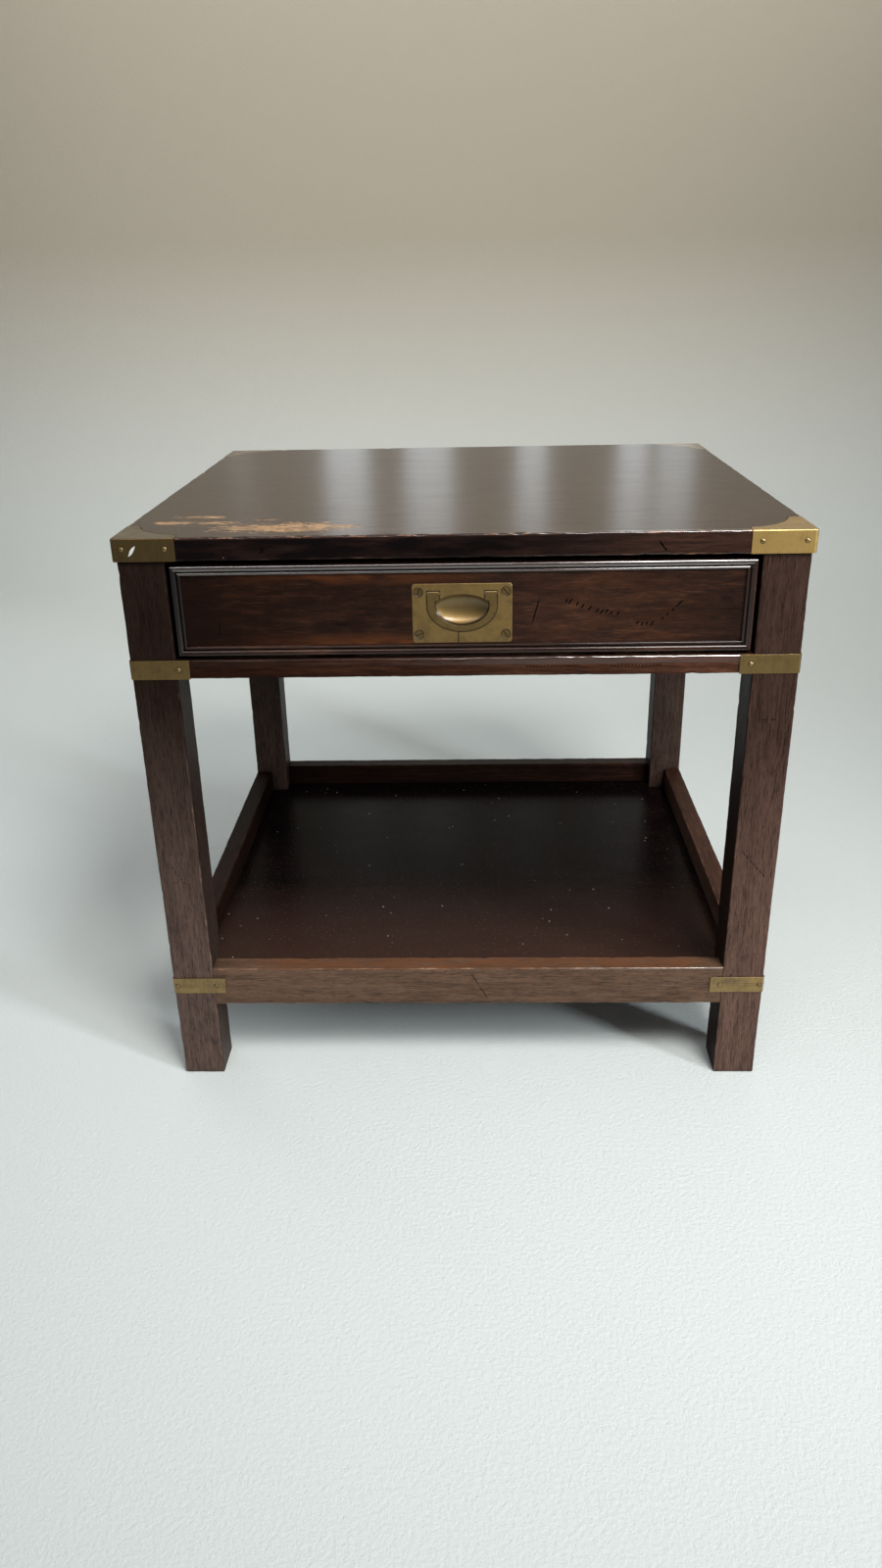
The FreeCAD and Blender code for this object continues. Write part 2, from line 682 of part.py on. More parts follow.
def moulding(label, along, side):
    """One mitred length of the applied moulding: an eased outer band, a quirk and a bead.
    Its frame has the drawer front's edge at the origin and the field towards -across."""
    half_x = DRAWER_X
    half_z = "(drawer_front_height / 2)"
    middle = f"(drawer_front_bottom + {half_z})"
    body = new_body(label, (0, FIELD_Y, middle))
    edge = half_z if along == X else half_x
    length = half_x if along == X else half_z
    bead = "(moulding_band + moulding_quirk)"
    profile = [
        (0, 0),
        (0, "moulding_proud"),
        ("moulding_band", "moulding_proud"),
        ("moulding_band", "moulding_quirk_height"),
        (bead, "moulding_quirk_height"),
        (bead, "moulding_bead_height"),
        ("moulding_width", "moulding_bead_height"),
        ("moulding_width", 0),
    ]
    if along == X:
        points = [(f"-({proud})", f"{side} * ({edge} - ({inward}))") for inward, proud in profile]
        raise_from(body, outline(body, "YZ_Plane", points), f"2 * {length}", Midplane=True)
    else:
        points = [(f"{side} * ({edge} - ({inward}))", f"-({proud})") for inward, proud in profile]
        raise_from(body, outline(body, "XY_Plane", points), f"2 * {length}", Midplane=True)
    across = Z if along == X else X
    at_edge = f"{side} * {edge}"
    ease(body, 1.6, lambda e: runs(e, along) and lies(e, Y, "-moulding_proud") and lies(e, across, at_edge))
    band_end = f"{side} * ({edge} - moulding_band)"
    ease(body, 0.9, lambda e: runs(e, along) and lies(e, Y, "-moulding_proud") and lies(e, across, band_end))
    ease(body, 1.25, lambda e: runs(e, along) and lies(e, Y, "-moulding_bead_height"))
    over = "(moulding_width + 1)"
    for end in (-1, 1):
        corner = (f"{end} * ({length} + 1)", f"{side} * ({edge} + 1)")
        inner = (f"{end} * ({length} - {over})", f"{side} * ({edge} - {over})")
        third = (f"{end} * ({length} + 1)", f"{side} * ({edge} - {over})")
        mitre = [corner, inner, third]
        if along == Z:
            mitre = [(up, across_) for across_, up in mitre]
        sketch = outline(body, "XZ_Plane", mitre, lift=-1)
        raise_from(body, sketch, "moulding_proud + 3", "PartDesign::Pocket")
    return node(body, label)


def drawer_side(side):
    """A side with half-blind tails at the front, sockets for the back's pins and a groove."""
    name = SIDE_NAMES[side]
    body = new_body(f"drawer_side_{name}")
    across = mirrored_span(side, DRAWER_INNER_X, DRAWER_X)
    block(body, across, (FRONT_BACK_Y, "drawer_end"), ("drawer_side_bottom", "drawer_side_top"))
    front_tails(body, "PartDesign::Pad", across)
    back_pins(body, "PartDesign::Pocket", across)
    cut_x = mirrored_span(side, DRAWER_INNER_X, f"{DRAWER_INNER_X} + drawer_groove_depth")
    groove = ("drawer_bottom_lift", "drawer_bottom_lift + drawer_bottom_thickness")
    hollow(body, cut_x, (FRONT_BACK_Y, "drawer_end"), groove)
    return node(body, f"drawer_side_{name}")


def drawer_back():
    """The back, standing on the bottom panel, with pins that pass right through the sides."""
    body = new_body("drawer_back")
    start = "drawer_end - drawer_side_thickness"
    foot = "drawer_bottom_lift + drawer_bottom_thickness"
    block(body, centred(DRAWER_INNER_X), (start, "drawer_end"), (foot, "drawer_back_top"))
    back_pins(body, "PartDesign::Pad", centred(DRAWER_X))
    return node(body, "drawer_back")


def drawer_bottom():
    xs = centred(f"{DRAWER_INNER_X} + drawer_groove_depth - panel_play")
    ys = (f"{FRONT_BACK_Y} - drawer_groove_depth + panel_play", "drawer_end")
    zs = ("drawer_bottom_lift", "drawer_bottom_lift + drawer_bottom_thickness")
    return node(box(xs, ys, zs), "drawer_bottom")


def drawer_bottom_screws():
    """Screws up through the bottom into the back's lower edge."""
    screws = []
    for row in (-1, 0, 1):
        at = (f"{row} * bottom_screw_spacing", "drawer_end - drawer_side_thickness / 2", "drawer_bottom_lift")
        screws.append(screw(3, 1.5, "bottom_screw_length", at, (1, 0, 0), 180, 40 * row))
    return group("drawer_bottom_screws", screws)


# ---- flush pull: frames have the plate's middle, on its face, at the origin -----------------


def ellipse_prism(half_width, half_height, centre, depth):
    """A solid ellipse in the plate's plane, from y 0 to y depth."""
    curve = bind(doc.addObject("Part::Ellipse", "ellipse"), MajorRadius=half_width, MinorRadius=half_height)
    solid = doc.addObject("Part::Extrusion", "ellipse_prism")
    solid.Base = curve
    solid.DirMode = "Custom"
    solid.Dir = FreeCAD.Vector(0, 0, -1)
    bind(solid, LengthFwd=depth)
    solid.Solid = True
    return place(solid, (0, 0, centre), (1, 0, 0), 90)


def bail_form(play, depth):
    """The bail's flat shape as a prism from y 0 back to depth, grown by play all round."""
    wide = f"(bail_half_width + {play})"
    top = f"(bail_top + {play})"
    inner = f"(bail_arm_inner - {play})"
    bend = "bail_bend_centre"
    whole = (0, depth)
    below = box(centred(wide), whole, (f"{bend} - bail_bend_drop - {play}", bend))
    outer = common(ellipse_prism(wide, f"bail_bend_drop + {play}", bend, depth), below)
    outer = joined([outer, box(centred(wide), whole, (bend, top))])
    shoulder = f"(bail_shoulder - {play})"
    eye_drop = f"(bail_inner_drop - {play})"
    under = box(centred(wide), whole, (f"{bend} - {eye_drop}", shoulder))
    eye = common(ellipse_prism(f"bail_inner_half - {play}", eye_drop, bend, depth), under)
    eye = joined([eye, box(centred(inner), whole, (bend, f"{top} + 1"))])
    return cut(outer, eye, "bail_form")


def pull_bail():
    """The swinging handle, its arm ends rounded so that they turn in the plate."""
    flat = bail_form(0, "bail_thickness")
    doc.recompute()
    ends = doc.addObject("Part::Fillet", "rounded_ends")
    ends.Base = flat
    radius = value("bail_end_round")
    ends.Edges = [
        (i, radius, radius)
        for i, edge in enumerate(flat.Shape.Edges, start=1)
        if runs(edge, X) and lies(edge, Z, "bail_top")
    ]
    eye = cylinder(
        "pivot_radius + pivot_play",
        "2 * bail_half_width + 2",
        ("-bail_half_width - 1", "pivot_depth + bail_proud", "pivot_height"),
        (0, 1, 0),
        90,
    )
    return node(place(cut(ends, eye), (0, f"{PLATE_Y} - bail_proud", "pull_height")), "pull_bail")


def pull_plate():
    """The plate and the box behind it, with the bail's channel and the finger cup."""
    blank = new_body("plate_blank")
    half_x = "plate_width / 2"
    half_z = "plate_height / 2"
    block(blank, centred(half_x), (0, "plate_thickness"), centred(half_z))
    ease(blank, "plate_corner", lambda e: runs(e, Y))
    ease(blank, "plate_edge", lambda e: lies(e, Y, 0))
    block(blank, centred("box_half_width"), (1, "box_depth"), ("-box_low", "box_high"))
    plate = cut(blank, bail_form("bail_play", "bail_thickness - bail_proud + bail_play"))
    for side in (LEFT, RIGHT):
        xs = mirrored_span(side, "bail_arm_inner - bail_play", "bail_half_width + bail_play")
        pocket = box(xs, (0, "hinge_pocket_depth"), ("bail_shoulder", "bail_top + bail_play"))
        plate = cut(plate, pocket)
    cup = doc.addObject("Part::Ellipsoid", "cup")
    bind(cup, Radius1="cup_half_height", Radius2="cup_half_width", Radius3="cup_depth")
    plate = cut(plate, place(cup, (0, 0, "cup_centre")))
    seam_x = ("-seam_offset - seam_width / 2", "-seam_offset + seam_width / 2")
    plate = cut(plate, box(seam_x, (-1, "seam_depth"), (f"-{half_z} - 1", "-15")))
    for side in (LEFT, RIGHT):
        for level in (-1, 1):
            at = (f"{side} * plate_screw_x", 0, f"{level} * plate_screw_z")
            wide = "plate_screw_head + plate_screw_sink + countersink_play"
            narrow = "plate_screw_shank + countersink_play"
            deep = f"{wide} - ({narrow})"
            sink = doc.addObject("Part::Cone", "countersink")
            bind(sink, Radius1=wide, Radius2=narrow, Height=deep)
            plate = cut(plate, place(sink, at, (1, 0, 0), -90))
            plate = cut(plate, cylinder(narrow, "box_depth", at, (1, 0, 0), -90))
    for side in (LEFT, RIGHT):
        plate = cut(plate, pivot_pin(side))
    return node(place(plate, (0, PLATE_Y, "pull_height")), "pull_plate")


def pivot_pin(side):
    start = "pivot_pin_start" if side > 0 else "-pivot_pin_start - pivot_pin_length"
    return cylinder(
        "pivot_radius", "pivot_pin_length", (start, "pivot_depth", "pivot_height"), (0, 1, 0), 90
    )


def pull_hinge_pins():
    pins = group("pull_hinge_pins", [pivot_pin(side) for side in (LEFT, RIGHT)])
    return place(pins, (0, PLATE_Y, "pull_height"))


def pull_screws():
    screws = []
    for side in (LEFT, RIGHT):
        for level in (-1, 1):
            at = (f"{side} * plate_screw_x", "plate_screw_sink", f"{level} * plate_screw_z")
            sizes = ("plate_screw_head", "plate_screw_shank", "plate_screw_length")
            screws.append(screw(*sizes, at, (1, 0, 0), 90, PULL_SLOT_ANGLES[side, level]))
    return place(group("pull_screws", screws), (0, PLATE_Y, "pull_height"))


# ---- assembly ------------------------------------------------------------------------------


def build():
    ends = [(side, end) for end in (FRONT, BACK) for side in (LEFT, RIGHT)]
    top_board([brass_corner(side, end) for side, end in ends])
    corner_pins()
    for side, end in ends:
        leg(side, end)
    middle = "rail_thickness / 2"
    apron = f"{UNDER_TOP} - apron_bottom"
    for end in (FRONT, BACK):
        at = (0, f"{end} * ({OUTER_Y} - {middle})", "shelf_rail_bottom")
        rail(f"shelf_rail_{END_NAMES[end]}", X, at, INNER_X, "shelf_rail_height", -end)
    for side in (LEFT, RIGHT):
        name = SIDE_NAMES[side]
        at_x = f"{side} * ({OUTER_X} - {middle})"
        rail(f"shelf_rail_{name}", Y, (at_x, 0, "shelf_rail_bottom"), INNER_Y, "shelf_rail_height", -side)
        rail(f"side_apron_{name}", Y, (at_x, 0, "apron_bottom"), INNER_Y, apron)
        drawer_ways(side)
    rail("back_apron", X, (0, f"{OUTER_Y} - {middle}", "apron_bottom"), INNER_X, apron)
    drawer_rail()
    drawer_stops()
    top_screws()
    shelf_panel()
    for level, bottom in (("upper", "upper_strap_bottom"), ("lower", "lower_strap_bottom")):
        for side, end in ends:
            strap(level, bottom, side, end)
        strap_pins(level, bottom)
    drawer_front()
    moulding("drawer_moulding_top", X, 1)
    moulding("drawer_moulding_bottom", X, -1)
    moulding("drawer_moulding_left", Z, LEFT)
    moulding("drawer_moulding_right", Z, RIGHT)
    for side in (LEFT, RIGHT):
        drawer_side(side)
    drawer_back()
    drawer_bottom()
    drawer_bottom_screws()
    pull_plate()
    pull_bail()
    pull_hinge_pins()
    pull_screws()


def check():
    """Stops on a failed object, an empty or invalid shape, or a pocket that cut nothing."""
    for item in doc.Objects:
        if {"Invalid", "Error"} & set(item.State):
            raise SystemExit(f"{item.Name} of {item.Label} failed: {item.State}")
        if item.TypeId == "PartDesign::Pocket" and item.Shape.Volume > item.BaseFeature.Shape.Volume - 1:
            raise SystemExit(f"{item.Name} cuts nothing")
    for item in nodes:
        if item.Shape.isNull() or not item.Shape.isValid() or not item.Shape.Solids:
            raise SystemExit(f"{item.Label} has no valid solid")


build()
doc.recompute()
check()
os.makedirs("parts", exist_ok=True)
for item in nodes:
    item.Shape.exportStep(f"parts/{item.Label}.step")
print(len(nodes), "sub-parts")
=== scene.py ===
"""The looks of a campaign side table: worn stained wood, aged brass and a soft pale studio."""

import contextlib
import itertools
import json
import math

import bmesh
import bpy
import numpy as np
from mathutils import Matrix, Vector


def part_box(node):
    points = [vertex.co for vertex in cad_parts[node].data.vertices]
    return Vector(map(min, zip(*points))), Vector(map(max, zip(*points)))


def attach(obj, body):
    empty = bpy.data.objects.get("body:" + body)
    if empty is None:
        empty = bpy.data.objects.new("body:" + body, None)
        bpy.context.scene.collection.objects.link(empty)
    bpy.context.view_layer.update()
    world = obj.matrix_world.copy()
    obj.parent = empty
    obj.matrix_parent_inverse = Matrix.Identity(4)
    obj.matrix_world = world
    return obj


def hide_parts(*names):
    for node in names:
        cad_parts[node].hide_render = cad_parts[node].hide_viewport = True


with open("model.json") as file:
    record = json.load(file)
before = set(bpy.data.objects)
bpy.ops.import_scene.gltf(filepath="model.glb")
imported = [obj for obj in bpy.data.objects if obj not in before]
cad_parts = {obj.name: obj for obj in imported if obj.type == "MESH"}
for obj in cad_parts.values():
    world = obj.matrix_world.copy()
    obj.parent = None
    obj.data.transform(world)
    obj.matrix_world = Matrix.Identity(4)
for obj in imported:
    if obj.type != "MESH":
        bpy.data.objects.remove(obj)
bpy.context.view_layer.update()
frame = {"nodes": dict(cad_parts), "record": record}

MM = 0.001
AXES = {"x": 0, "y": 1, "z": 2}
FORWARD = Vector((0, -1, 0))
LEG_FACE = -276.2  # the front of the legs and of the rails between them, in mm
LATTICE = 32  # cells along each side of the noise that wears the meshes
BODY_OF = {n: b for b, names in frame["record"]["behaviour"]["bodies"].items() for n in names}


# ---------------------------------------------------------------- shading helpers


def colour(red, green, blue):
    """A display colour from 0 to 255 as the linear colour that a shader socket takes."""
    linear = []
    for channel in (red, green, blue):
        part = channel / 255
        linear.append(part / 12.92 if part <= 0.04045 else ((part + 0.055) / 1.055) ** 2.4)
    return (*linear, 1.0)


def wood_tones(*rows):
    """The dark, middle, light and worn colours of a wood."""
    return tuple(colour(*row) for row in rows)


class Shader:
    """One material, built a node at a time. Positions inside it are in millimetres."""

    def __init__(self, name):
        self.material = bpy.data.materials.new(name)
        self.material.use_nodes = True
        self.tree = self.material.node_tree
        self.tree.nodes.clear()
        output = self.tree.nodes.new("ShaderNodeOutputMaterial")
        self.surface = self.tree.nodes.new("ShaderNodeBsdfPrincipled")
        self.tree.links.new(self.surface.outputs[0], output.inputs["Surface"])
        place = self.tree.nodes.new("ShaderNodeTexCoord").outputs["Object"]
        self.place = self.vector("SCALE", place, scale=1 / MM)
        self.sides = self.x, self.y, self.z = self.split(self.place)

    def feed(self, socket, value):
        if isinstance(value, bpy.types.NodeSocket):
            self.tree.links.new(value, socket)
        else:
            socket.default_value = value

    def node(self, kind, *values, **settings):
        """A new node with its settings, and values for its first sockets."""
        made = self.tree.nodes.new(f"ShaderNode{kind}")
        for name, setting in settings.items():
            setattr(made, name, setting)
        for socket, value in zip(made.inputs, values):
            self.feed(socket, value)
        return made

    def math(self, operation, *values, clamp=False):
        return self.node("Math", *values, operation=operation, use_clamp=clamp).outputs[0]

    def fold(self, operation, first, *others):
        """One operation through a row of values, from the left."""
        for other in others:
            first = self.math(operation, first, other)
        return first

    def times(self, *values):
        return self.fold("MULTIPLY", *values)

    def plus(self, *values):
        return self.fold("ADD", *values)

    def minus(self, first, second):
        return self.math("SUBTRACT", first, second)

    def most(self, *values):
        return self.fold("MAXIMUM", *values)

    def least(self, *values):
        return self.fold("MINIMUM", *values)

    def gap(self, value, line):
        """How far value is from a line, on either side."""
        return self.math("ABSOLUTE", self.minus(value, line))

    def weigh(self, *layers):
        """The sum of (value, weight) layers."""
        total = self.math("MULTIPLY", *layers[0])
        for value, weight in layers[1:]:
            total = self.math("MULTIPLY_ADD", value, weight, total)
        return total

    def square(self, across, along):
        """The square of the length with those two sides."""
        return self.weigh((across, across), (along, along))

    def oval(self, across, along, centre, half):
        """The squared distance from an oval's centre, which is 1 on its rim."""
        sides = [
            self.math("DIVIDE", self.minus(place, middle), size)
            for place, middle, size in zip((across, along), centre, half)
        ]
        return self.square(*sides)

    def vector(self, operation, *values, scale=None):
        made = self.node("VectorMath", *values, operation=operation)
        if scale is not None:
            made.inputs["Scale"].default_value = scale
        return made.outputs[0]

    def split(self, vector):
        return self.node("SeparateXYZ", vector).outputs[:]

    def join(self, *parts):
        return self.node("CombineXYZ", *parts).outputs[0]

    def noise(self, vector, size, detail=2.0, rough=0.5, warp=0.0):
        """Noise from 0 to 1. Size is one number or three, in millimetres along each axis."""
        sizes = size if isinstance(size, tuple) else (size,) * 3
        made = self.node("TexNoise", self.vector("MULTIPLY", vector, tuple(1 / s for s in sizes)))
        made.inputs["Scale"].default_value = 1.0
        made.inputs["Detail"].default_value = detail
        made.inputs["Roughness"].default_value = rough
        made.inputs["Distortion"].default_value = warp
        return made.outputs["Fac"]

    def specks(self, vector, size, radius):
        """1 in small round specks scattered about size apart, 0 between them."""
        made = self.node("TexVoronoi", self.vector("SCALE", vector, scale=1 / size))
        made.inputs["Scale"].default_value = 1.0
        return self.fade(made.outputs["Distance"], radius / size, 0.6 * radius / size)

    def fade(self, value, low, high, start=0.0, end=1.0):
        """Start where value is at low, end where it is at high, and straight between."""
        return self.node("MapRange", value, low, high, start, end).outputs[0]

    def mix(self, factor, first, second):
        made = self.node("Mix", factor, data_type="RGBA")
        self.feed(made.inputs[6], first)
        self.feed(made.inputs[7], second)
        return made.outputs[2]

    def ramp(self, value, *stops):
        """A colour ramp through (position, colour) stops."""
        made = self.node("ValToRGB", value)
        elements = made.color_ramp.elements
        elements[0].position, elements[0].color = stops[0]
        elements[1].position, elements[1].color = stops[-1]
        for position, tint in stops[1:-1]:
            elements.new(position).color = tint
        return made.outputs[0]

    def shade(self, reach):
        """How open the surface is, from 0 in a crevice to 1 in the open, within reach mm."""
        made = self.node("AmbientOcclusion", samples=8)
        made.inputs["Distance"].default_value = reach * MM
        return made.outputs["AO"]

    def relief(self, height, depth):
        """Bump of that depth in millimetres from a height of 0 to 1."""
        made = self.node("Bump")
        made.inputs["Distance"].default_value = depth * MM
        self.feed(made.inputs["Height"], height)
        self.feed(self.surface.inputs["Normal"], made.outputs[0])

    def finish(self, tint, rough, **constants):
        self.feed(self.surface.inputs["Base Color"], tint)
        self.feed(self.surface.inputs["Roughness"], rough)
        for name, value in constants.items():
            self.surface.inputs[name.replace("_", " ")].default_value = value
        return self.material


# ---------------------------------------------------------------- wood


def grain_place(shader, axis, seed):
    """Position with the grain along its first axis, moved on by the seed."""
    turned = {
        "x": (shader.x, shader.y, shader.z),
        "y": (shader.y, shader.x, shader.z),
        "z": (shader.z, shader.y, shader.x),
    }[axis]
    offset = (137.0 * seed, 71.0 * seed, 53.0 * seed)
    return shader.vector("ADD", shader.join(*turned), offset)


def arris_distance(shader, low, high, axis, capped):
    """How far a point is from the nearest arris of a box, in millimetres.

    A face touches one side of the box and an arris touches two, so it is the middle one of
    the three distances. Where the ends are hidden in a joint, only the long arrises count.
    """
    hidden = 1000.0
    parts = []
    for place, near, far, name in zip(shader.sides, low, high, AXES):
        middle, half = (near + far) / 2, (far - near) / 2
        depth = shader.minus(half, shader.gap(place, middle))
        parts.append(shader.times(depth, 1.0 if capped or name != axis else hidden))
    nearest = shader.least(parts[0], parts[1])
    farther = shader.most(parts[0], parts[1])
    return shader.most(nearest, shader.least(farther, parts[2]))


# What a wood looks like unless a piece says otherwise. Sizes and reaches are in millimetres.
WOOD = {
    "rings_wide": 5.0,
    # How strongly each layer shows, and the sum of layers at the darkest and lightest tone.
    "figure": 0.5,
    "rings": 0.2,
    "fibres": 0.65,
    "patches": 0.2,
    "span": (0.48, 1.1),
    "pores": 0.5,
    "cracks": 0.3,
    "crack_size": (26.0, 1.1, 1.1),
    # The box whose arrises are rubbed, and whether its ends are in the open.
    "box": None,
    "capped": False,
    "wear": 0.7,
    "wear_reach": 2.4,
    # How much painted shade and dirt darken the crevices.
    "dirt_and_shade": 0.6,
    # (axis, from, to, amount) for each painted shade that darkens the piece along an axis.
    "painted_shade": (),
    "extra": None,
    "rough": 0.3,
    "rough_play": 0.05,
    "relief": 0.12,
    "specular": 0.35,
    # A gleam along the front arris: (height, x where it is dim, x where it is bright).
    "glint": None,
    "coat": 0.0,
    "coat_rough": 0.12,
    "coat_ior": 1.5,
}
PORE = colour(14, 9, 8)
# The colour of painted shade.
PAINTED_SHADE_TINT = colour(16, 7, 4)
# The colour of painted shade and dirt in crevices.
CORNER_DIRT_AND_SHADE = colour(12, 8, 7)
FRONT_ARRIS = (-273.5, -275.0)  # where the top of a front arris begins and is full


def wood(name, axis, seed, tones, look):
    """Stained wood: figure, growth rings, fibres and pores, all drawn out along the grain.

    tones are the dark, middle, light and worn colours. look holds what differs from WOOD.
    """
    look = WOOD | look
    shader = Shader(name)
    fade, mix, noise = shader.fade, shader.mix, shader.noise
    place = grain_place(shader, axis, seed)
    dark, middle, light, worn = tones
    rings_wide = look["rings_wide"]

    figure = noise(place, (150.0, 34.0, 34.0), 5.0, 0.6, 0.7)
    rings = noise(place, (110.0, rings_wide, rings_wide), 4.0, 0.65, 0.35)
    fibres = noise(place, (16.0, 1.1, 1.1), 3.0, 0.75)
    fine = noise(place, (12.0, 0.45, 0.45), 1.0, 0.5)
    pores = fade(noise(place, (6.5, 0.5, 0.5), 1.0, 0.5), 0.62, 0.72)
    patches = noise(place, (30.0, 7.0, 7.0), 5.0, 0.7, 0.5)
    tone = shader.weigh(
        (figure, look["figure"]),
        (fade(rings, 0.38, 0.62), look["rings"]),
        (fibres, look["fibres"]),
        (patches, look["patches"]),
    )
    tint = shader.ramp(fade(tone, *look["span"]), (0.0, dark), (0.5, middle), (1.0, light))

    lines = shader.times(pores, look["pores"])
    black = mix(0.25, PORE, dark)
    tint = mix(lines, tint, black)
    cracks = noise(place, look["crack_size"], 2.0, 0.65, 0.25)
    cracks = shader.times(fade(cracks, 0.57, 0.68), look["cracks"])
    tint = mix(cracks, tint, black)

    bare, dull = 0.0, 0.0
    if look["box"]:
        depth = arris_distance(shader, *look["box"], axis, look["capped"])
        ragged = noise(place, (14.0, 3.0, 3.0), 3.0, 0.65)
        reach = fade(ragged, 0.35, 0.75, 0.0, look["wear_reach"])
        bare = fade(shader.minus(reach, depth), 0.0, 0.9, 0.0, look["wear"])
        tint = mix(bare, tint, worn)
    if look["extra"]:
        tint, bare, dull = look["extra"](shader, place, tint, bare, fibres)
    # Painted shade, which also dims the reflection where it falls.
    for side, near, far, amount in look["painted_shade"]:
        shade_amount = fade(shader.sides[AXES[side]], near, far, 0.0, amount)
        tint = mix(shade_amount, tint, PAINTED_SHADE_TINT)
        dull = shader.most(dull, shade_amount)
    # Painted shade and dirt in the crevices, from ambient occlusion.
    dirt_and_shade = fade(shader.shade(9.0), 0.35, 0.8, look["dirt_and_shade"], 0.0)
    tint = mix(dirt_and_shade, tint, CORNER_DIRT_AND_SHADE)

    gloss, play = look["rough"], look["rough_play"]
    rough = fade(figure, 0.3, 0.7, gloss - 0.4 * play, gloss + 0.6 * play)
    rough = shader.math("MULTIPLY_ADD", lines, 4.0 * play, rough)
    rough = shader.math("MULTIPLY_ADD", fine, 1.6 * play, rough)
    rough = shader.math("MULTIPLY_ADD", bare, 0.25, rough, clamp=True)
    height = shader.weigh((fibres, 0.3), (lines, -1.0), (cracks, -1.0))
    shader.relief(height, look["relief"])

    gleam = look["specular"]
    if dull:
        gleam = fade(dull, 0.0, 1.0, gleam, 0.1 * gleam)
    shader.feed(shader.surface.inputs["Specular IOR Level"], gleam)
    coat = look["coat"]
    if look["glint"]:
        arris_z, dim_x, bright_x = look["glint"]
        coat = shader.times(
            fade(shader.y, *FRONT_ARRIS),
            fade(shader.z, arris_z, arris_z + 1.2),
            fade(shader.x, dim_x, bright_x, 0.1, 1.0),
        )
    shader.feed(shader.surface.inputs["Coat Weight"], coat)
    return shader.finish(
        tint, rough, Coat_Roughness=look["coat_rough"], Coat_IOR=look["coat_ior"]
    )


# Where the top's finish is rubbed through: (x, y) of each oval, its half sizes, how much.
RUBBED = (
    ((-162.0, -240.0), (94.0, 30.0), 1.0),
    ((-245.0, -186.0), (30.0, 10.0), 1.0),
    ((-266.0, -212.0), (26.0, 9.0), 1.0),
    ((-222.0, -214.0), (30.0, 12.0), 0.9),
    ((-186.0, -202.0), (30.0, 8.0), 0.8),
)


def top_extra(shader, place, tint, bare, fibres):
    """The finish rubbed through near the front left, fine lines, dust, and a painted shadow on the
    front edge.
    """
    fade, mix, times, noise = shader.fade, shader.mix, shader.times, shader.noise
    streaks = noise(place, (9.0, 2.8, 2.8), 4.0, 0.8, 0.2)
    blotches = noise(place, (26.0, 11.0, 11.0), 4.0, 0.6, 0.5)
    island = 0.0
    for centre, half, amount in RUBBED:
        square = shader.oval(shader.x, shader.y, centre, half)
        island = shader.most(island, times(fade(square, 1.3, 0.1), amount))
    through = shader.weigh((blotches, 0.6), (streaks, 1.4), (island, 0.45))
    upward = fade(shader.z, 571.5, 573.0)
    reddish = times(fade(through, 1.28, 1.38), upward, 0.55)
    through = times(fade(through, 1.37, 1.42), upward)
    tint = mix(reddish, tint, colour(104, 62, 40))
    pale = shader.ramp(fibres, (0.38, colour(150, 100, 62)), (0.6, colour(222, 184, 136)))
    tint = mix(through, tint, pale)

    # Painted shadow on the front edge, darkest at the left, which also dims its reflection.
    ragged_edge = noise(place, (50.0, 8.0, 8.0), 3.0, 0.6)
    shadowed = times(
        fade(shader.x, 190.0, 40.0, 0.0, 0.97),
        fade(ragged_edge, 0.3, 0.55, 0.6, 1.0),
        fade(shader.y, -277.0, -278.5),
        fade(shader.z, 572.2, 570.8),
    )
    tint = mix(shadowed, tint, colour(11, 8, 9))
    dust = times(shader.specks(place, 17.0, 0.55), 0.55)
    tint = mix(dust, tint, colour(190, 176, 160))
    hairlines = noise(place, (60.0, 3.4, 3.4), 3.0, 0.75)
    hairlines = fade(hairlines, 0.46, 0.66, 0.0, 0.65)
    tint = mix(hairlines, tint, colour(18, 11, 8))
    return tint, shader.most(bare, through), shader.most(shadowed, hairlines)


def shelf_extra(shader, place, tint, bare, fibres):
    """A dusty shelf, with painted light making it redder and paler towards its front."""
    # Painted light: the front of the shelf, out from under the top, is paler and redder.
    near = shader.fade(shader.y, -40.0, -250.0)
    tint = shader.mix(shader.times(near, 0.7), tint, colour(72, 50, 42))
    for size, radius, amount in ((5.0, 0.6, 0.22), (20.0, 1.1, 0.95)):
        dust = shader.times(shader.specks(place, size, radius), amount)
        tint = shader.mix(dust, tint, colour(176, 164, 152))
    film = shader.noise(shader.place, (60.0, 40.0, 60.0), 4.0, 0.6)
    film = shader.fade(film, 0.5, 0.75, 0.0, 0.015)
    return shader.mix(film, tint, colour(128, 112, 104)), bare, 0.0


# Dark spots on the drawer front: (x, z) of each oval and its half sizes.
FRONT_SPOTS = (
    ((207.0, 516.0), (11.0, 4.0)),
    ((231.0, 513.0), (8.0, 4.0)),
    ((-105.0, 493.0), (30.0, 3.0)),
)


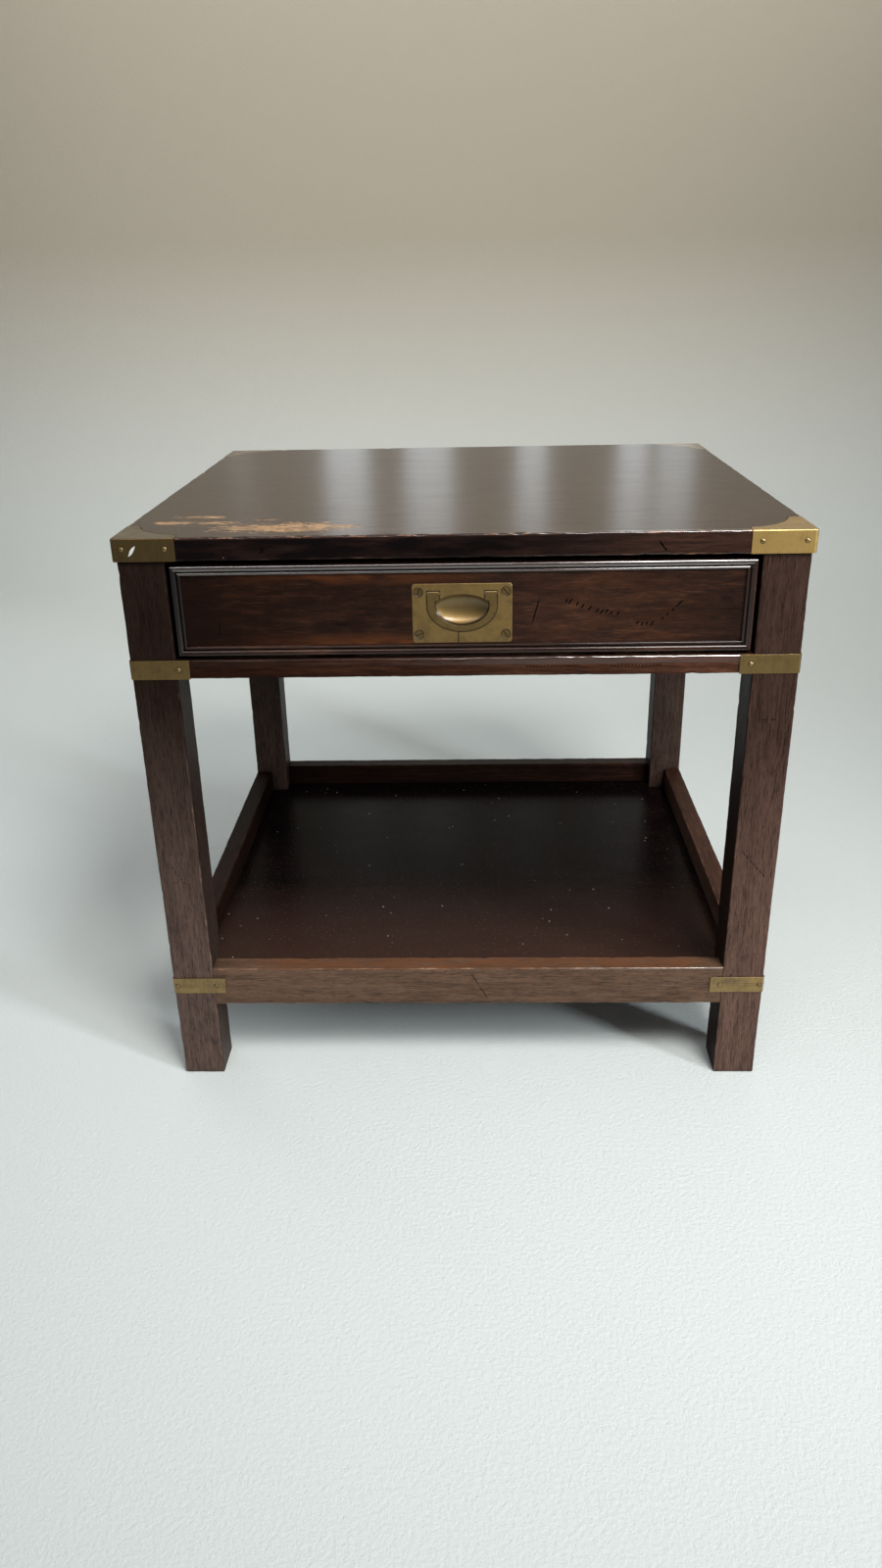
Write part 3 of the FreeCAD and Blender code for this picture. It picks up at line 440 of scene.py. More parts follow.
def front_extra(shader, place, tint, bare, fibres):
    """Warmer, thinner stain along the drawer front's upper border and lower left, and painted
    shade at its left end.
    """
    fade, times = shader.fade, shader.times
    x, z = shader.x, shader.z
    upper = times(
        fade(z, 527.0, 540.0), fade(x, 30.0, -90.0), fade(x, -235.0, -110.0)
    )
    lower = times(
        fade(z, 486.0, 474.0), fade(x, 60.0, -60.0), fade(x, -225.0, -120.0)
    )
    right = times(fade(x, 40.0, 110.0), fade(x, 235.0, 170.0), 0.12)
    warmth = shader.most(upper, times(lower, 0.7), right)
    cloud = fade(shader.noise(place, (46.0, 14.0, 14.0), 3.0, 0.6, 0.4), 0.35, 0.65)
    tint = shader.mix(times(warmth, cloud, 0.8), tint, colour(134, 76, 40))
    # Painted shade at the left end, which also dims the reflection there.
    edge = times(fade(x, -200.0, -240.0), 0.5)
    tint = shader.mix(edge, tint, colour(30, 18, 14))
    for centre, half in FRONT_SPOTS:
        stain = times(fade(shader.oval(x, z, centre, half), 1.2, 0.0), cloud, 0.8)
        tint = shader.mix(stain, tint, colour(18, 11, 9))
    return tint, bare, edge


def rail_extra(shader, place, tint, bare, fibres):
    """The rubbed, warm top of the front shelf rail."""
    rubbed = shader.times(
        shader.fade(shader.noise(place, (34.0, 2.6, 2.6), 4.0, 0.7), 0.38, 0.6, 0.0, 0.9),
        shader.fade(shader.z, 129.6, 130.8),
        shader.fade(shader.x, -262.0, -190.0),
        shader.fade(shader.x, 262.0, 220.0),
    )
    return shader.mix(rubbed, tint, colour(106, 62, 32)), bare, 0.0


STAIN = wood_tones((16, 9, 6), (44, 26, 18), (84, 53, 36), (122, 80, 56))
REDDISH = wood_tones((36, 22, 17), (88, 65, 55), (110, 83, 71), (150, 116, 98))
RAIL = wood_tones((26, 14, 9), (62, 37, 26), (96, 62, 45), (140, 102, 80))
BROWNER = wood_tones((38, 25, 19), (88, 66, 51), (112, 86, 68), (190, 150, 116))
DARKER = wood_tones((34, 23, 20), (86, 68, 60), (108, 87, 77), (144, 117, 101))
SHELF = wood_tones((7, 4, 5), (16, 9, 9), (32, 18, 15), (90, 62, 50))
TOP = wood_tones((26, 15, 10), (56, 34, 24), (84, 55, 40), (158, 112, 80))
# The left moulding's tones, darkened as painted shade.
PAINTED_SHADE_TONES = wood_tones((8, 5, 5), (18, 11, 9), (34, 21, 16), (70, 48, 38))
PALE = wood_tones((128, 96, 66), (172, 136, 98), (200, 166, 126), (206, 178, 144))


# ---------------------------------------------------------------- metal, paint and studio


def pull_lines(shader):
    """1 on the dirt that lines the bail's channel and rings the pull's four screws.

    The channel is a half ring between two half ellipses, with a straight arm up each side.
    Each line is its distance in mm, pushed off by a fade where the line doesn't run.
    """
    bend, shoulder, top = 509.0, 513.6, 522.2
    inner_side, outer_side = 19.8, 31.3
    inner_oval, outer_oval = (24.0, 17.9), (31.3, 23.7)
    screw_row, screw_up, screw_side, screw_ring = 502.0, 19.3, 38.8, 4.1
    side = shader.math("ABSOLUTE", shader.x)

    def away(value, start, end):
        return shader.fade(value, start, end, 0.0, 9.0)

    def from_oval(half):
        up = shader.minus(shader.z, bend)
        reach = shader.math("SQRT", shader.square(shader.x, up))
        square = shader.oval(shader.x, up, (0.0, 0.0), half)
        share = shader.minus(1.0, shader.math("INVERSE_SQRT", square))
        return shader.math("ABSOLUTE", shader.times(reach, share))

    outer_arm = shader.gap(side, outer_side)
    inner_arm = shader.gap(side, inner_side)
    inner_arm = shader.plus(inner_arm, away(shader.z, shoulder, shoulder - 1.0))
    cap = shader.plus(
        shader.gap(shader.z, top),
        away(side, inner_side, inner_side - 1.0),
        away(side, outer_side, outer_side + 1.0),
    )
    arms = shader.plus(shader.least(outer_arm, inner_arm), away(shader.z, top, top + 1.0))
    arms = shader.plus(shader.least(arms, cap), away(shader.z, bend + 0.5, bend - 0.5))
    outer = shader.plus(from_oval(outer_oval), away(shader.z, bend - 0.5, bend + 0.5))
    inner = shader.plus(from_oval(inner_oval), away(shader.z, shoulder, shoulder + 1.0))
    from_row = shader.minus(shader.gap(shader.z, screw_row), screw_up)
    from_screw = shader.math("SQRT", shader.square(shader.minus(side, screw_side), from_row))
    nearest = shader.least(outer, inner, arms, shader.gap(from_screw, screw_ring))
    return shader.fade(nearest, 0.35, 1.0, 1.0, 0.0)


BRASS_TONES = ((0.27, 0.165, 0.06), (0.5, 0.32, 0.105), (0.66, 0.41, 0.13))
BRASS_GRIME = (0.05, 0.032, 0.018, 1.0)
BRASS_PIT = (0.07, 0.045, 0.02, 1.0)
BRASS_TARNISH = (0.13, 0.085, 0.035, 1.0)


def brass(name, seed, bright=1.0, streaked=0.3, rough=(0.55, 0.36), lined=False):
    """Aged brass: gold where it is handled, olive and brown where it has tarnished.

    lined is for the pull, which has dirt in its lines and a stained, darker cup.
    """
    shader = Shader(name)
    fade, noise = shader.fade, shader.noise
    place = shader.vector("ADD", shader.place, (31.0 * seed, 17.0 * seed, 11.0 * seed))
    clouds = noise(place, 19.0, 3.0, 0.55, 0.4)
    mottle = noise(place, 2.6, 4.0, 0.65)
    streaks = noise(place, (2.2, 2.2, 60.0), 3.0, 0.6)
    tone = shader.weigh((clouds, 0.7), (mottle, 0.16), (streaks, streaked))
    tone = fade(tone, 0.22 + streaked * 0.4, 0.66 + streaked * 0.6)
    brown, olive, gold = [
        (*(channel * bright for channel in tint), 1.0) for tint in BRASS_TONES
    ]
    tint = shader.ramp(tone, (0.0, brown), (0.45, olive), (1.0, gold))
    grime = fade(shader.shade(1.6), 0.76, 0.99, 0.96, 0.0)
    grime = shader.times(grime, fade(mottle, 0.25, 0.6, 0.7, 1.0))
    if lined:
        lines = shader.times(pull_lines(shader), fade(clouds, 0.3, 0.7, 0.7, 0.95))
        grime = shader.most(grime, lines)
        stains = noise(place, (12.0, 9.0, 7.0), 4.0, 0.65)
        stains = fade(stains, 0.52, 0.68, 0.0, 0.45)
        cup = fade(shader.y, -273.6, -270.0, 0.0, 0.5)
        tint = shader.mix(shader.most(stains, cup), tint, BRASS_TARNISH)
    tint = shader.mix(grime, tint, BRASS_GRIME)
    pits = shader.times(shader.specks(place, 5.5, 0.35), 0.6)
    tint = shader.mix(pits, tint, BRASS_PIT)
    gloss = fade(tone, 0.0, 1.0, *rough)
    gloss = shader.math("MULTIPLY_ADD", grime, 0.3, gloss, clamp=True)
    scratches = noise(place, (30.0, 0.5, 0.5), 2.0, 0.5)
    shader.relief(shader.weigh((clouds, 1.0), (scratches, 0.3), (mottle, 0.25)), 0.06)
    return shader.finish(tint, gloss, Metallic=1.0, Coat_Weight=0.8, Coat_Roughness=0.25)


def steel(name):
    """Dull screws."""
    shader = Shader(name)
    clouds = shader.noise(shader.place, 1.5, 3.0, 0.6)
    tint = shader.ramp(clouds, (0.3, (0.16, 0.15, 0.14, 1.0)), (0.7, (0.42, 0.41, 0.4, 1.0)))
    return shader.finish(tint, shader.fade(clouds, 0.3, 0.7, 0.5, 0.32), Metallic=1.0)


def plain(name, tint, rough, specular=0.5):
    """A quiet surface with a faint mottle, for paint and gouges."""
    shader = Shader(name)
    mottle = shader.noise(shader.place, 4.0, 3.0, 0.6)
    darker = tuple(0.82 * channel for channel in tint[:3]) + (1.0,)
    tint = shader.mix(shader.fade(mottle, 0.3, 0.7), darker, tint)
    return shader.finish(tint, rough, Specular_IOR_Level=specular)


def floor_paint():
    """Pale paint with a fine grit, a little warmer up the wall."""
    shader = Shader("studio_paint")
    grit = shader.noise(shader.place, 4.0, 3.0, 0.7)
    up_wall = shader.fade(shader.z, 50.0, 900.0)
    tint = shader.mix(up_wall, colour(222, 228, 225), colour(204, 194, 176))
    shader.relief(grit, 1.1)
    return shader.finish(tint, 0.65)


# ---------------------------------------------------------------- mesh helpers


def noise_at(points, size, seed):
    """Smooth noise from -1 to 1 at points, with features about size across."""
    values = np.random.default_rng(seed).uniform(-1.0, 1.0, (LATTICE,) * 3)
    cell = np.floor(points / size).astype(int)
    along = points / size - cell
    along = along * along * (3 - 2 * along)
    total = np.zeros(len(points))
    for corner in itertools.product((0, 1), repeat=3):
        weight = np.prod(np.where(corner, along, 1 - along), axis=1)
        i, j, k = ((cell + corner) % LATTICE).T
        total += weight * values[i, j, k]
    return total


def box_grid(rows):
    """A closed box of quads whose corners lie on three lists of positions."""
    counts = [len(row) for row in rows]
    sides = []
    for axis in range(3):
        one, two = (axis + 1) % 3, (axis + 2) % 3
        a, b = np.meshgrid(np.arange(counts[one] - 1), np.arange(counts[two] - 1), indexing="ij")
        turn = [(0, 0), (1, 0), (1, 1), (0, 1)]
        for end, corners in ((0, turn[::-1]), (counts[axis] - 1, turn)):
            quad = np.zeros((a.size, 4, 3), int)
            quad[:, :, axis] = end
            for k, (step_a, step_b) in enumerate(corners):
                quad[:, k, one] = a.ravel() + step_a
                quad[:, k, two] = b.ravel() + step_b
            sides.append(quad)
    quads = np.concatenate(sides)
    used, place = np.unique(quads.reshape(-1, 3), axis=0, return_inverse=True)
    points = np.stack([rows[k][used[:, k]] for k in range(3)], axis=1)
    return points, place.reshape(-1, 4)


def new_object(name, points, faces):
    mesh = bpy.data.meshes.new(name)
    mesh.from_pydata([tuple(p) for p in points], [], [tuple(int(i) for i in f) for f in faces])
    made = bpy.data.objects.new(name, mesh)
    bpy.context.scene.collection.objects.link(made)
    return made


def rows_between(low, high, radius, step, rounded):
    """Positions from low to high: close together at the rounded ends, step apart between."""
    if not rounded:
        return np.linspace(low, high, max(2, round((high - low) / step) + 1))
    edge = radius * np.array([0.0, 0.18, 0.36, 0.55, 0.75, 1.0, 1.5])
    inner = np.linspace(low + edge[-1], high - edge[-1], max(2, round((high - low) / step)))
    return np.concatenate([low + edge[:-1], inner, (high - edge[:-1])[::-1]])


def worn_shell(low, high, wear, seed, nicks=()):
    """A box in millimetres as use leaves it: arrises rubbed round by a varying amount.

    The wear gives the least and greatest radius, the step of the grid along the piece, how far
    the faces sink and roll, and the axis whose ends stay sharp in their joints, if any.
    Each nick is (place, radius, depth) and is pressed in towards the box's middle.
    """
    least, greatest = wear["radius"]
    sink = wear.get("sink", -0.03)
    open_axis = wear.get("open_axis")
    low, high = np.array(low, float) + sink, np.array(high, float) - sink
    rounded = [k != open_axis for k in range(3)]
    for k in range(3):
        if not rounded[k]:
            low[k] -= 2.0
            high[k] += 2.0
    rows = [rows_between(low[k], high[k], greatest, wear["step"], rounded[k]) for k in range(3)]
    points, quads = box_grid(rows)

    middle, half = (low + high) / 2, (high - low) / 2
    along = noise_at(points, 17.0, seed) * 0.6 + noise_at(points, 5.0, seed + 1) * 0.4
    radius = least + (greatest - least) * np.clip(0.5 + 0.9 * along, 0.0, 1.0)
    inset = half[None, :] - radius[:, None] * np.array(rounded, float)[None, :]
    core = np.clip(points - middle, -inset, inset)
    out = points - middle - core
    length = np.maximum(np.linalg.norm(out, axis=1, keepdims=True), 1e-9)
    out = out / length
    points = middle + core + out * np.minimum(length, radius[:, None])
    roll = wear.get("roll", 0.0)
    if roll:
        points = points - out * (roll * (1 + noise_at(points, 38.0, seed + 2)))[:, None]
    for place, reach, depth in nicks:
        gap = np.linalg.norm(points - np.array(place), axis=1)
        points = points - out * (depth * np.exp(-((gap / reach) ** 2)))[:, None]
    return new_object("worn_shell", points * MM, quads)


def random_nicks(low, high, count, seed, largest, axis=None):
    """Knocks scattered along the long arrises of a box."""
    draw = np.random.default_rng(seed)
    low, high = np.array(low, float), np.array(high, float)
    weights = (high - low) / (high - low).sum()
    found = []
    for _ in range(count):
        along = draw.choice(3, p=weights) if axis is None else axis
        place = np.where(draw.random(3) < 0.5, low, high)
        place[along] = draw.uniform(low[along], high[along])
        size = largest * draw.uniform(0.3, 1.0)
        found.append((tuple(place), size * draw.uniform(1.0, 2.2), size * 0.45))
    return found


def gouge(start, end, width, depth):
    """A spindle that lies along a mark and is half sunk in the front face it marks."""
    start, end = Vector(start), Vector(end)
    along = (end - start).normalized()
    across = along.cross(FORWARD).normalized()
    around, steps = 8, 6
    points = [start, end]
    for k in range(1, steps):
        share = k / steps
        swell = math.sin(math.pi * share) ** 0.7
        for turn in range(around):
            angle = 2 * math.pi * turn / around
            side = across * (math.cos(angle) * width / 2) + FORWARD * (math.sin(angle) * depth)
            points.append(start.lerp(end, share) + side * swell)
    faces = []
    for turn in range(around):
        after = (turn + 1) % around
        faces.append((0, 2 + turn, 2 + after))
        last = 2 + (steps - 2) * around
        faces.append((1, last + after, last + turn))
        for k in range(steps - 2):
            ring = 2 + k * around
            faces.append((ring + turn, ring + around + turn, ring + around + after, ring + after))
    return points, faces


def two_slots(mesh):
    """Leaves a mesh with two material slots: its own, and one for what is cut into it."""
    mesh.materials.clear()
    for _ in range(2):
        mesh.materials.append(None)


def gouge_tool(marks):
    """All the marks of one face as a single tool. A mark is (start, end, width, depth)."""
    points, faces = [], []
    for mark in marks:
        more_points, more_faces = gouge(*mark)
        faces += [tuple(i + len(points) for i in face) for face in more_faces]
        points += more_points
    tool = new_object("gouges", [p * MM for p in points], faces)
    tidy_normals(tool)
    two_slots(tool.data)
    for polygon in tool.data.polygons:
        polygon.material_index = 1
    return tool


def front_mark(start, end, width, depth, face=LEG_FACE):
    """A mark on a front face, from (x, z) to (x, z)."""
    return (start[0], face, start[1]), (end[0], face, end[1]), width, depth


def chatter(count, start, end, step, width, depth):
    """A row of marks, each moved on from the one before by a step of (x, z)."""
    return [
        front_mark(
            (start[0] + k * step[0], start[1] + k * step[1]),
            (end[0] + k * step[0], end[1] + k * step[1]),
            width,
            depth,
        )
        for k in range(count)
    ]


@contextlib.contextmanager
def editing(mesh):
    """A mesh's faces and edges to change, which go back into it afterwards."""
    form = bmesh.new()
    form.from_mesh(mesh)
    yield form
    form.to_mesh(mesh)
    form.free()


def tidy_normals(piece):
    with editing(piece.data) as form:
        bmesh.ops.recalc_face_normals(form, faces=form.faces)


def copy_of(node, name):
    """A new object with a CAD node's shape, its split vertices joined again."""
    mesh = frame["nodes"][node].data.copy()
    mesh.name = name
    with editing(mesh) as form:
        bmesh.ops.remove_doubles(form, verts=form.verts, dist=1e-6)
    drop_normals(mesh)
    mesh.materials.clear()
    made = bpy.data.objects.new(name, mesh)
    bpy.context.scene.collection.objects.link(made)
    return made


def drop_normals(mesh):
    """Removes the normals stored with a CAD mesh, so that its shading follows its shape."""
    if "custom_normal" in mesh.attributes:
        mesh.attributes.remove(mesh.attributes["custom_normal"])


def carve(piece, tool, operation):
    """Applies one Boolean to the piece's own mesh, then removes the tool."""
    cutter = piece.modifiers.new("carve", "BOOLEAN")
    cutter.operation = operation
    cutter.solver = "MANIFOLD"
    cutter.object = tool
    graph = bpy.context.evaluated_depsgraph_get()
    carved = bpy.data.meshes.new_from_object(piece.evaluated_get(graph))
    if not carved.polygons:
        raise RuntimeError(f"{piece.name}: the {operation} with {tool.name} left nothing")
    piece.modifiers.clear()
    piece.data = carved
    bpy.data.objects.remove(tool)


def smooth(piece, angle=38.0):
    """Smooth shading with sharp edges past the angle, weighted towards the large faces."""
    piece.data.shade_smooth()
    limit = math.radians(angle)
    with editing(piece.data) as form:
        for edge in form.edges:
            edge.smooth = edge.calc_face_angle(0.0) < limit
    weights = piece.modifiers.new("weights", "WEIGHTED_NORMAL")
    weights.keep_sharp = True
    weights.weight = 80


def soften(piece, width, segments=2, angle=30.0):
    """Rounds a piece's edges by width mm."""
    weld = piece.modifiers.new("weld", "WELD")
    weld.merge_threshold = 1e-6
    bevel = piece.modifiers.new("soften", "BEVEL")
    bevel.width = width * MM
    bevel.segments = segments
    bevel.limit_method = "ANGLE"
    bevel.angle_limit = math.radians(angle)
    bevel.use_clamp_overlap = True
    bevel.miter_outer = "MITER_ARC"
    weights = piece.modifiers.new("weights", "WEIGHTED_NORMAL")
    weights.weight = 60


def dress(node, material, width=0.25, segments=2):
    """A CAD node keeps its shape and gets its material and softened edges."""
    piece = frame["nodes"][node]
    piece.data.materials.clear()
    piece.data.materials.append(material)
    drop_normals(piece.data)
    piece.data.shade_smooth()
    if width:
        soften(piece, width, segments)
    return piece


def stand_for(piece, node):
    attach(piece, BODY_OF[node])
    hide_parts(node)


def box_mm(node):
    low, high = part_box(node)
    return tuple(low / MM), tuple(high / MM)


# ---------------------------------------------------------------- the worn wooden pieces

GOUGE = plain("gouge_dark", colour(9, 5, 4), 0.8, 0.05)

LEG_LOOK = dict(
    capped=True, rings_wide=3.2, rings=0.1, figure=0.45, span=(0.46, 0.92), pores=0.8,
    cracks=0.9, crack_size=(22.0, 1.0, 1.0), wear=0.8, rough=0.4, relief=0.16, specular=0.15,
)
RAIL_LOOK = LEG_LOOK | dict(capped=False, rings_wide=2.6, rings=0.12, wear=0.6)
# The side and back rails get painted shade towards the left and towards the back.
SIDE_RAIL_LOOK = RAIL_LOOK | dict(painted_shade=(("x", 200.0, -260.0, 0.68), ("y", 0.0, 200.0, 0.4)))
# Painted shade darkens the drawer rail towards its left end.
DRAWER_RAIL_LOOK = RAIL_LOOK | dict(
    rings=0.15, cracks=0.5, wear=0.3, painted_shade=(("x", 230.0, -200.0, 0.75),), rough=0.3,
    specular=0.07, glint=(454.3, -80.0, 60.0), coat_rough=0.12, coat_ior=2.4,
)
FRONT_RAIL_LOOK = RAIL_LOOK | dict(
    extra=rail_extra, wear=0.65, wear_reach=2.2, cracks=0.8, glint=(128.4, 60.0, 200.0),
    coat_rough=0.18, coat_ior=1.8,
)
TOP_LOOK = dict(
    capped=True, rings_wide=9.0, rings=0.08, figure=0.5, fibres=0.5, patches=0.15,
    span=(0.35, 0.95), pores=0.8, cracks=0.4, crack_size=(14.0, 1.1, 1.1), wear=0.85,
    wear_reach=2.3, dirt_and_shade=0.3, extra=top_extra, rough=0.23, rough_play=0.016, specular=0.54,
    relief=0.004, glint=(570.6, 20.0, 170.0), coat_rough=0.2, coat_ior=1.7,
)
# Painted shade darkens the drawer front towards its left end and a little at its right end.
FRONT_LOOK = dict(
    rings_wide=11.0, rings=0.12, figure=0.4, fibres=0.8, patches=0.8, span=(0.72, 1.5),
    pores=0.7, cracks=0.5, crack_size=(13.0, 2.0, 2.0), extra=front_extra,
    painted_shade=(("x", 90.0, -230.0, 0.7), ("x", 120.0, 250.0, 0.3)), rough=0.27, specular=0.22,
    relief=0.06,
)
MOULDING_LOOK = dict(
    rough=0.14, specular=0.9, relief=0.02, pores=0.35, dirt_and_shade=0.9, coat_rough=0.12,
    coat_ior=1.9,
)
SHELF_LOOK = dict(
    rings=0.12, pores=0.4, rough=0.2, specular=0.03, relief=0.05, dirt_and_shade=0.5, extra=shelf_extra,
)
INSIDE_LOOK = dict(rings=0.35, rough=0.55, pores=0.3, rings_wide=6.0)
LEG_WEAR = dict(radius=(0.9, 2.6), step=4.0, sink=0.05, roll=0.07)
RAIL_WEAR = dict(radius=(0.7, 2.2), step=3.0, sink=0.05, roll=0.08)
TOP_WEAR = dict(radius=(0.8, 2.4), step=3.5, sink=-0.03)


def finish_worn(piece, node, finish, marks=()):
    """Cuts the marks in, gives the wood its finish, and lets the piece stand for its node."""
    if marks:
        two_slots(piece.data)
        carve(piece, gouge_tool(marks), "DIFFERENCE")
        piece.data.materials[0] = finish
        piece.data.materials[1] = GOUGE
    else:
        piece.data.materials.clear()
        piece.data.materials.append(finish)
    smooth(piece)
    stand_for(piece, node)


def worn_piece(node, axis, tones, look, wear, seed, nicks=(), marks=()):
    """A CAD node with rubbed and knocked arrises, its marks cut in, and its own grain."""
    piece = copy_of(node, f"worn_{node}")
    low, high = box_mm(node)
    open_axis = None if look["capped"] else AXES[axis]
    shell = worn_shell(low, high, wear | dict(open_axis=open_axis), seed, nicks)
    carve(piece, shell, "INTERSECT")
    finish = wood(f"wood_{node}", axis, seed, tones, look | dict(box=(low, high)))
    finish_worn(piece, node, finish, marks)


def build_legs():
    """Legs with painted shade, from nearly black under the top to a paler brown at the feet."""
    marks = {
        "leg_front_left": chatter(5, (-289.0, 250.0), (-287.0, 247.4), (2.3, -4.2), 0.9, 0.35),
        "leg_front_right": [
            *chatter(2, (273.0, 399.0), (278.0, 399.4), (9.0, 0.0), 0.9, 0.4),
            *chatter(7, (268.5, 264.0), (271.5, 258.0), (3.5, -4.0), 1.0, 0.4),
        ],
    }
    nodes = ("leg_front_left", "leg_front_right", "leg_back_left", "leg_back_right")
    for seed, node in enumerate(nodes, start=11):
        low, high = box_mm(node)
        tones, shade_under_top = (REDDISH, 0.64) if node == "leg_front_right" else (DARKER, 0.87)
        inner, inward, shaded = (high[0], 1, 0.55) if node.endswith("left") else (low[0], -1, 0.85)
        # Painted shade: darker towards the top, towards the back and on each leg's inner face.
        painted_shade = (
            ("z", 110.0, 430.0, shade_under_top),
            ("y", 0.0, 200.0, 0.3),
            ("x", inner - 0.9 * inward, inner - 0.25 * inward, shaded),
        )
        nicks = random_nicks(low, high, 26, seed, 2.2, axis=2)
        look = LEG_LOOK | dict(painted_shade=painted_shade)
        worn_piece(node, "z", tones, look, LEG_WEAR, seed, nicks, marks.get(node, ()))


def build_rails():
    node = "drawer_rail"
    nicks = random_nicks(*box_mm(node), 34, 21, 1.8, axis=0)
    marks = [
        mark
        for x in (57.0, 133.0)
        for mark in chatter(15, (x, 451.0), (x + 2.4, 454.2), (3.1, 0.0), 1.0, 0.4)
    ]
    wear = RAIL_WEAR | dict(radius=(1.5, 2.8))
    worn_piece(node, "x", RAIL, DRAWER_RAIL_LOOK, wear, 21, nicks, marks)

    node = "shelf_rail_front"
    nicks = random_nicks(*box_mm(node), 40, 22, 2.0, axis=0)
    scratch = [
        front_mark((4.0, 126.4), (14.0, 109.0), 1.1, 0.4),
        front_mark((12.0, 111.5), (23.0, 92.7), 1.0, 0.35),
    ]
    worn_piece(node, "x", BROWNER, FRONT_RAIL_LOOK, RAIL_WEAR, 22, nicks, scratch)

    quiet = {
        "shelf_rail_back": "x",
        "shelf_rail_left": "y",
        "shelf_rail_right": "y",
        "side_apron_left": "y",
        "side_apron_right": "y",
        "back_apron": "x",
    }
    for seed, (node, axis) in enumerate(quiet.items(), start=23):
        nicks = random_nicks(*box_mm(node), 14, seed, 1.6, axis=AXES[axis])
        tones = RAIL if node.endswith("right") else STAIN
        worn_piece(node, axis, tones, SIDE_RAIL_LOOK, RAIL_WEAR, seed, nicks)


def build_top():
    """The board: chipped along its front arris, with a seam round each let-in brass corner."""
    node = "top_board"
    low, high = box_mm(node)
    nicks = random_nicks(low, high, 90, 31, 2.0)
    draw = np.random.default_rng(32)
    for x in draw.uniform(-235.0, 60.0, 34):
        size = draw.uniform(0.8, 2.8)
        nicks.append(((x, low[1], high[2]), size, size * draw.uniform(0.25, 0.5)))
    front, under = low[1], low[2]
    marks = [
        front_mark((170.0, 565.5), (174.5, 559.0), 1.8, 1.2, front),
        front_mark((173.5, 560.5), (177.5, 556.0), 1.6, 0.9, front),
        front_mark((-136.0, 562.0), (-115.0, 571.0), 0.9, 0.35, front),
        front_mark((-176.0, under + 6.0), (-170.5, under + 10.5), 3.2, 0.7, front),
    ]
    piece = copy_of(node, "worn_top_board")
    carve(piece, worn_shell(low, high, TOP_WEAR, 31, nicks), "INTERSECT")
    for side in ("front_left", "front_right", "back_left", "back_right"):
        seam = copy_of(f"brass_corner_{side}", "seam")
        widen(seam, 0.6)
        carve(piece, seam, "DIFFERENCE")
    finish = wood("wood_top", "x", 31, TOP, TOP_LOOK | dict(box=(low, high)))
    finish_worn(piece, node, finish, marks)


def widen(tool, amount):
    """Pushes a tool's faces outward by amount mm."""
    with editing(tool.data) as form:
        form.normal_update()
        places = [v.co + v.normal * (v.calc_shell_factor() * amount * MM) for v in form.verts]
        for vertex, place in zip(form.verts, places):
            vertex.co = place


# Chatter marks across the drawer's face, as (x, z) of each end in mm.
CHATTER = (
    ((93.6, 514.2), (91.2, 509.7)),
    ((97.5, 514.7), (93.7, 508.6)),
    ((103.1, 511.6), (100.7, 507.0)),
    ((108.1, 509.5), (105.3, 504.9)),
    ((115.1, 507.8), (110.8, 502.3)),
    ((121.6, 505.2), (117.8, 500.7)),
    ((125.6, 504.1), (121.8, 499.4)),
    ((129.6, 504.6), (126.3, 499.7)),
    ((133.6, 502.5), (130.8, 499.0)),
    ((139.6, 502.4), (136.8, 498.4)),
    ((157.0, 493.0), (154.2, 489.4)),
    ((161.0, 491.9), (158.7, 488.3)),
    ((164.5, 492.4), (163.2, 488.8)),
    ((170.4, 493.3), (167.2, 487.9)),
    ((178.6, 496.3), (176.3, 493.8)),
    ((182.9, 499.9), (181.0, 497.8)),
    ((187.5, 504.4), (185.6, 501.4)),
    ((194.9, 511.9), (188.5, 504.9)),
)


def build_drawer_front():
    face = -272.8
    marks = [front_mark(start, end, 1.5, 0.8, face) for start, end in CHATTER]
    marks.append(front_mark((69.0, 516.5), (61.7, 490.0), 1.3, 0.4, face))
    marks.append(front_mark((-217.5, 499.0), (-219.0, 483.0), 1.2, 0.35, face))
    piece = copy_of("drawer_front", "worn_drawer_front")
    finish = wood("wood_drawer_front", "x", 41, STAIN, FRONT_LOOK)
    finish_worn(piece, "drawer_front", finish, marks)


# ---------------------------------------------------------------- pieces that keep their CAD shape


def moulding_profile():
    """The moulding's section, as (inward from its outer edge, out from the field) in mm.

    A broad band with a rounded outer arris, a deep quirk, then a fine bead.
    """
    section = [(0.0, 0.0), (0.0, 1.2)]
    for k in range(1, 9):
        angle = math.pi / 2 * k / 8
        section.append((2.8 - 2.8 * math.cos(angle), 0.8 + 2.6 * math.sin(angle)))
    section += [(3.8, 3.2), (4.8, 2.6), (5.4, 1.9), (5.7, 1.0), (6.2, 0.6)]
    for k in range(9):
        angle = math.pi * (1 - k / 8)
        section.append((7.75 + 1.3 * math.cos(angle), 1.0 + 1.35 * math.sin(angle)))
    section += [(9.4, 0.35), (9.4, 0.0)]
    return section


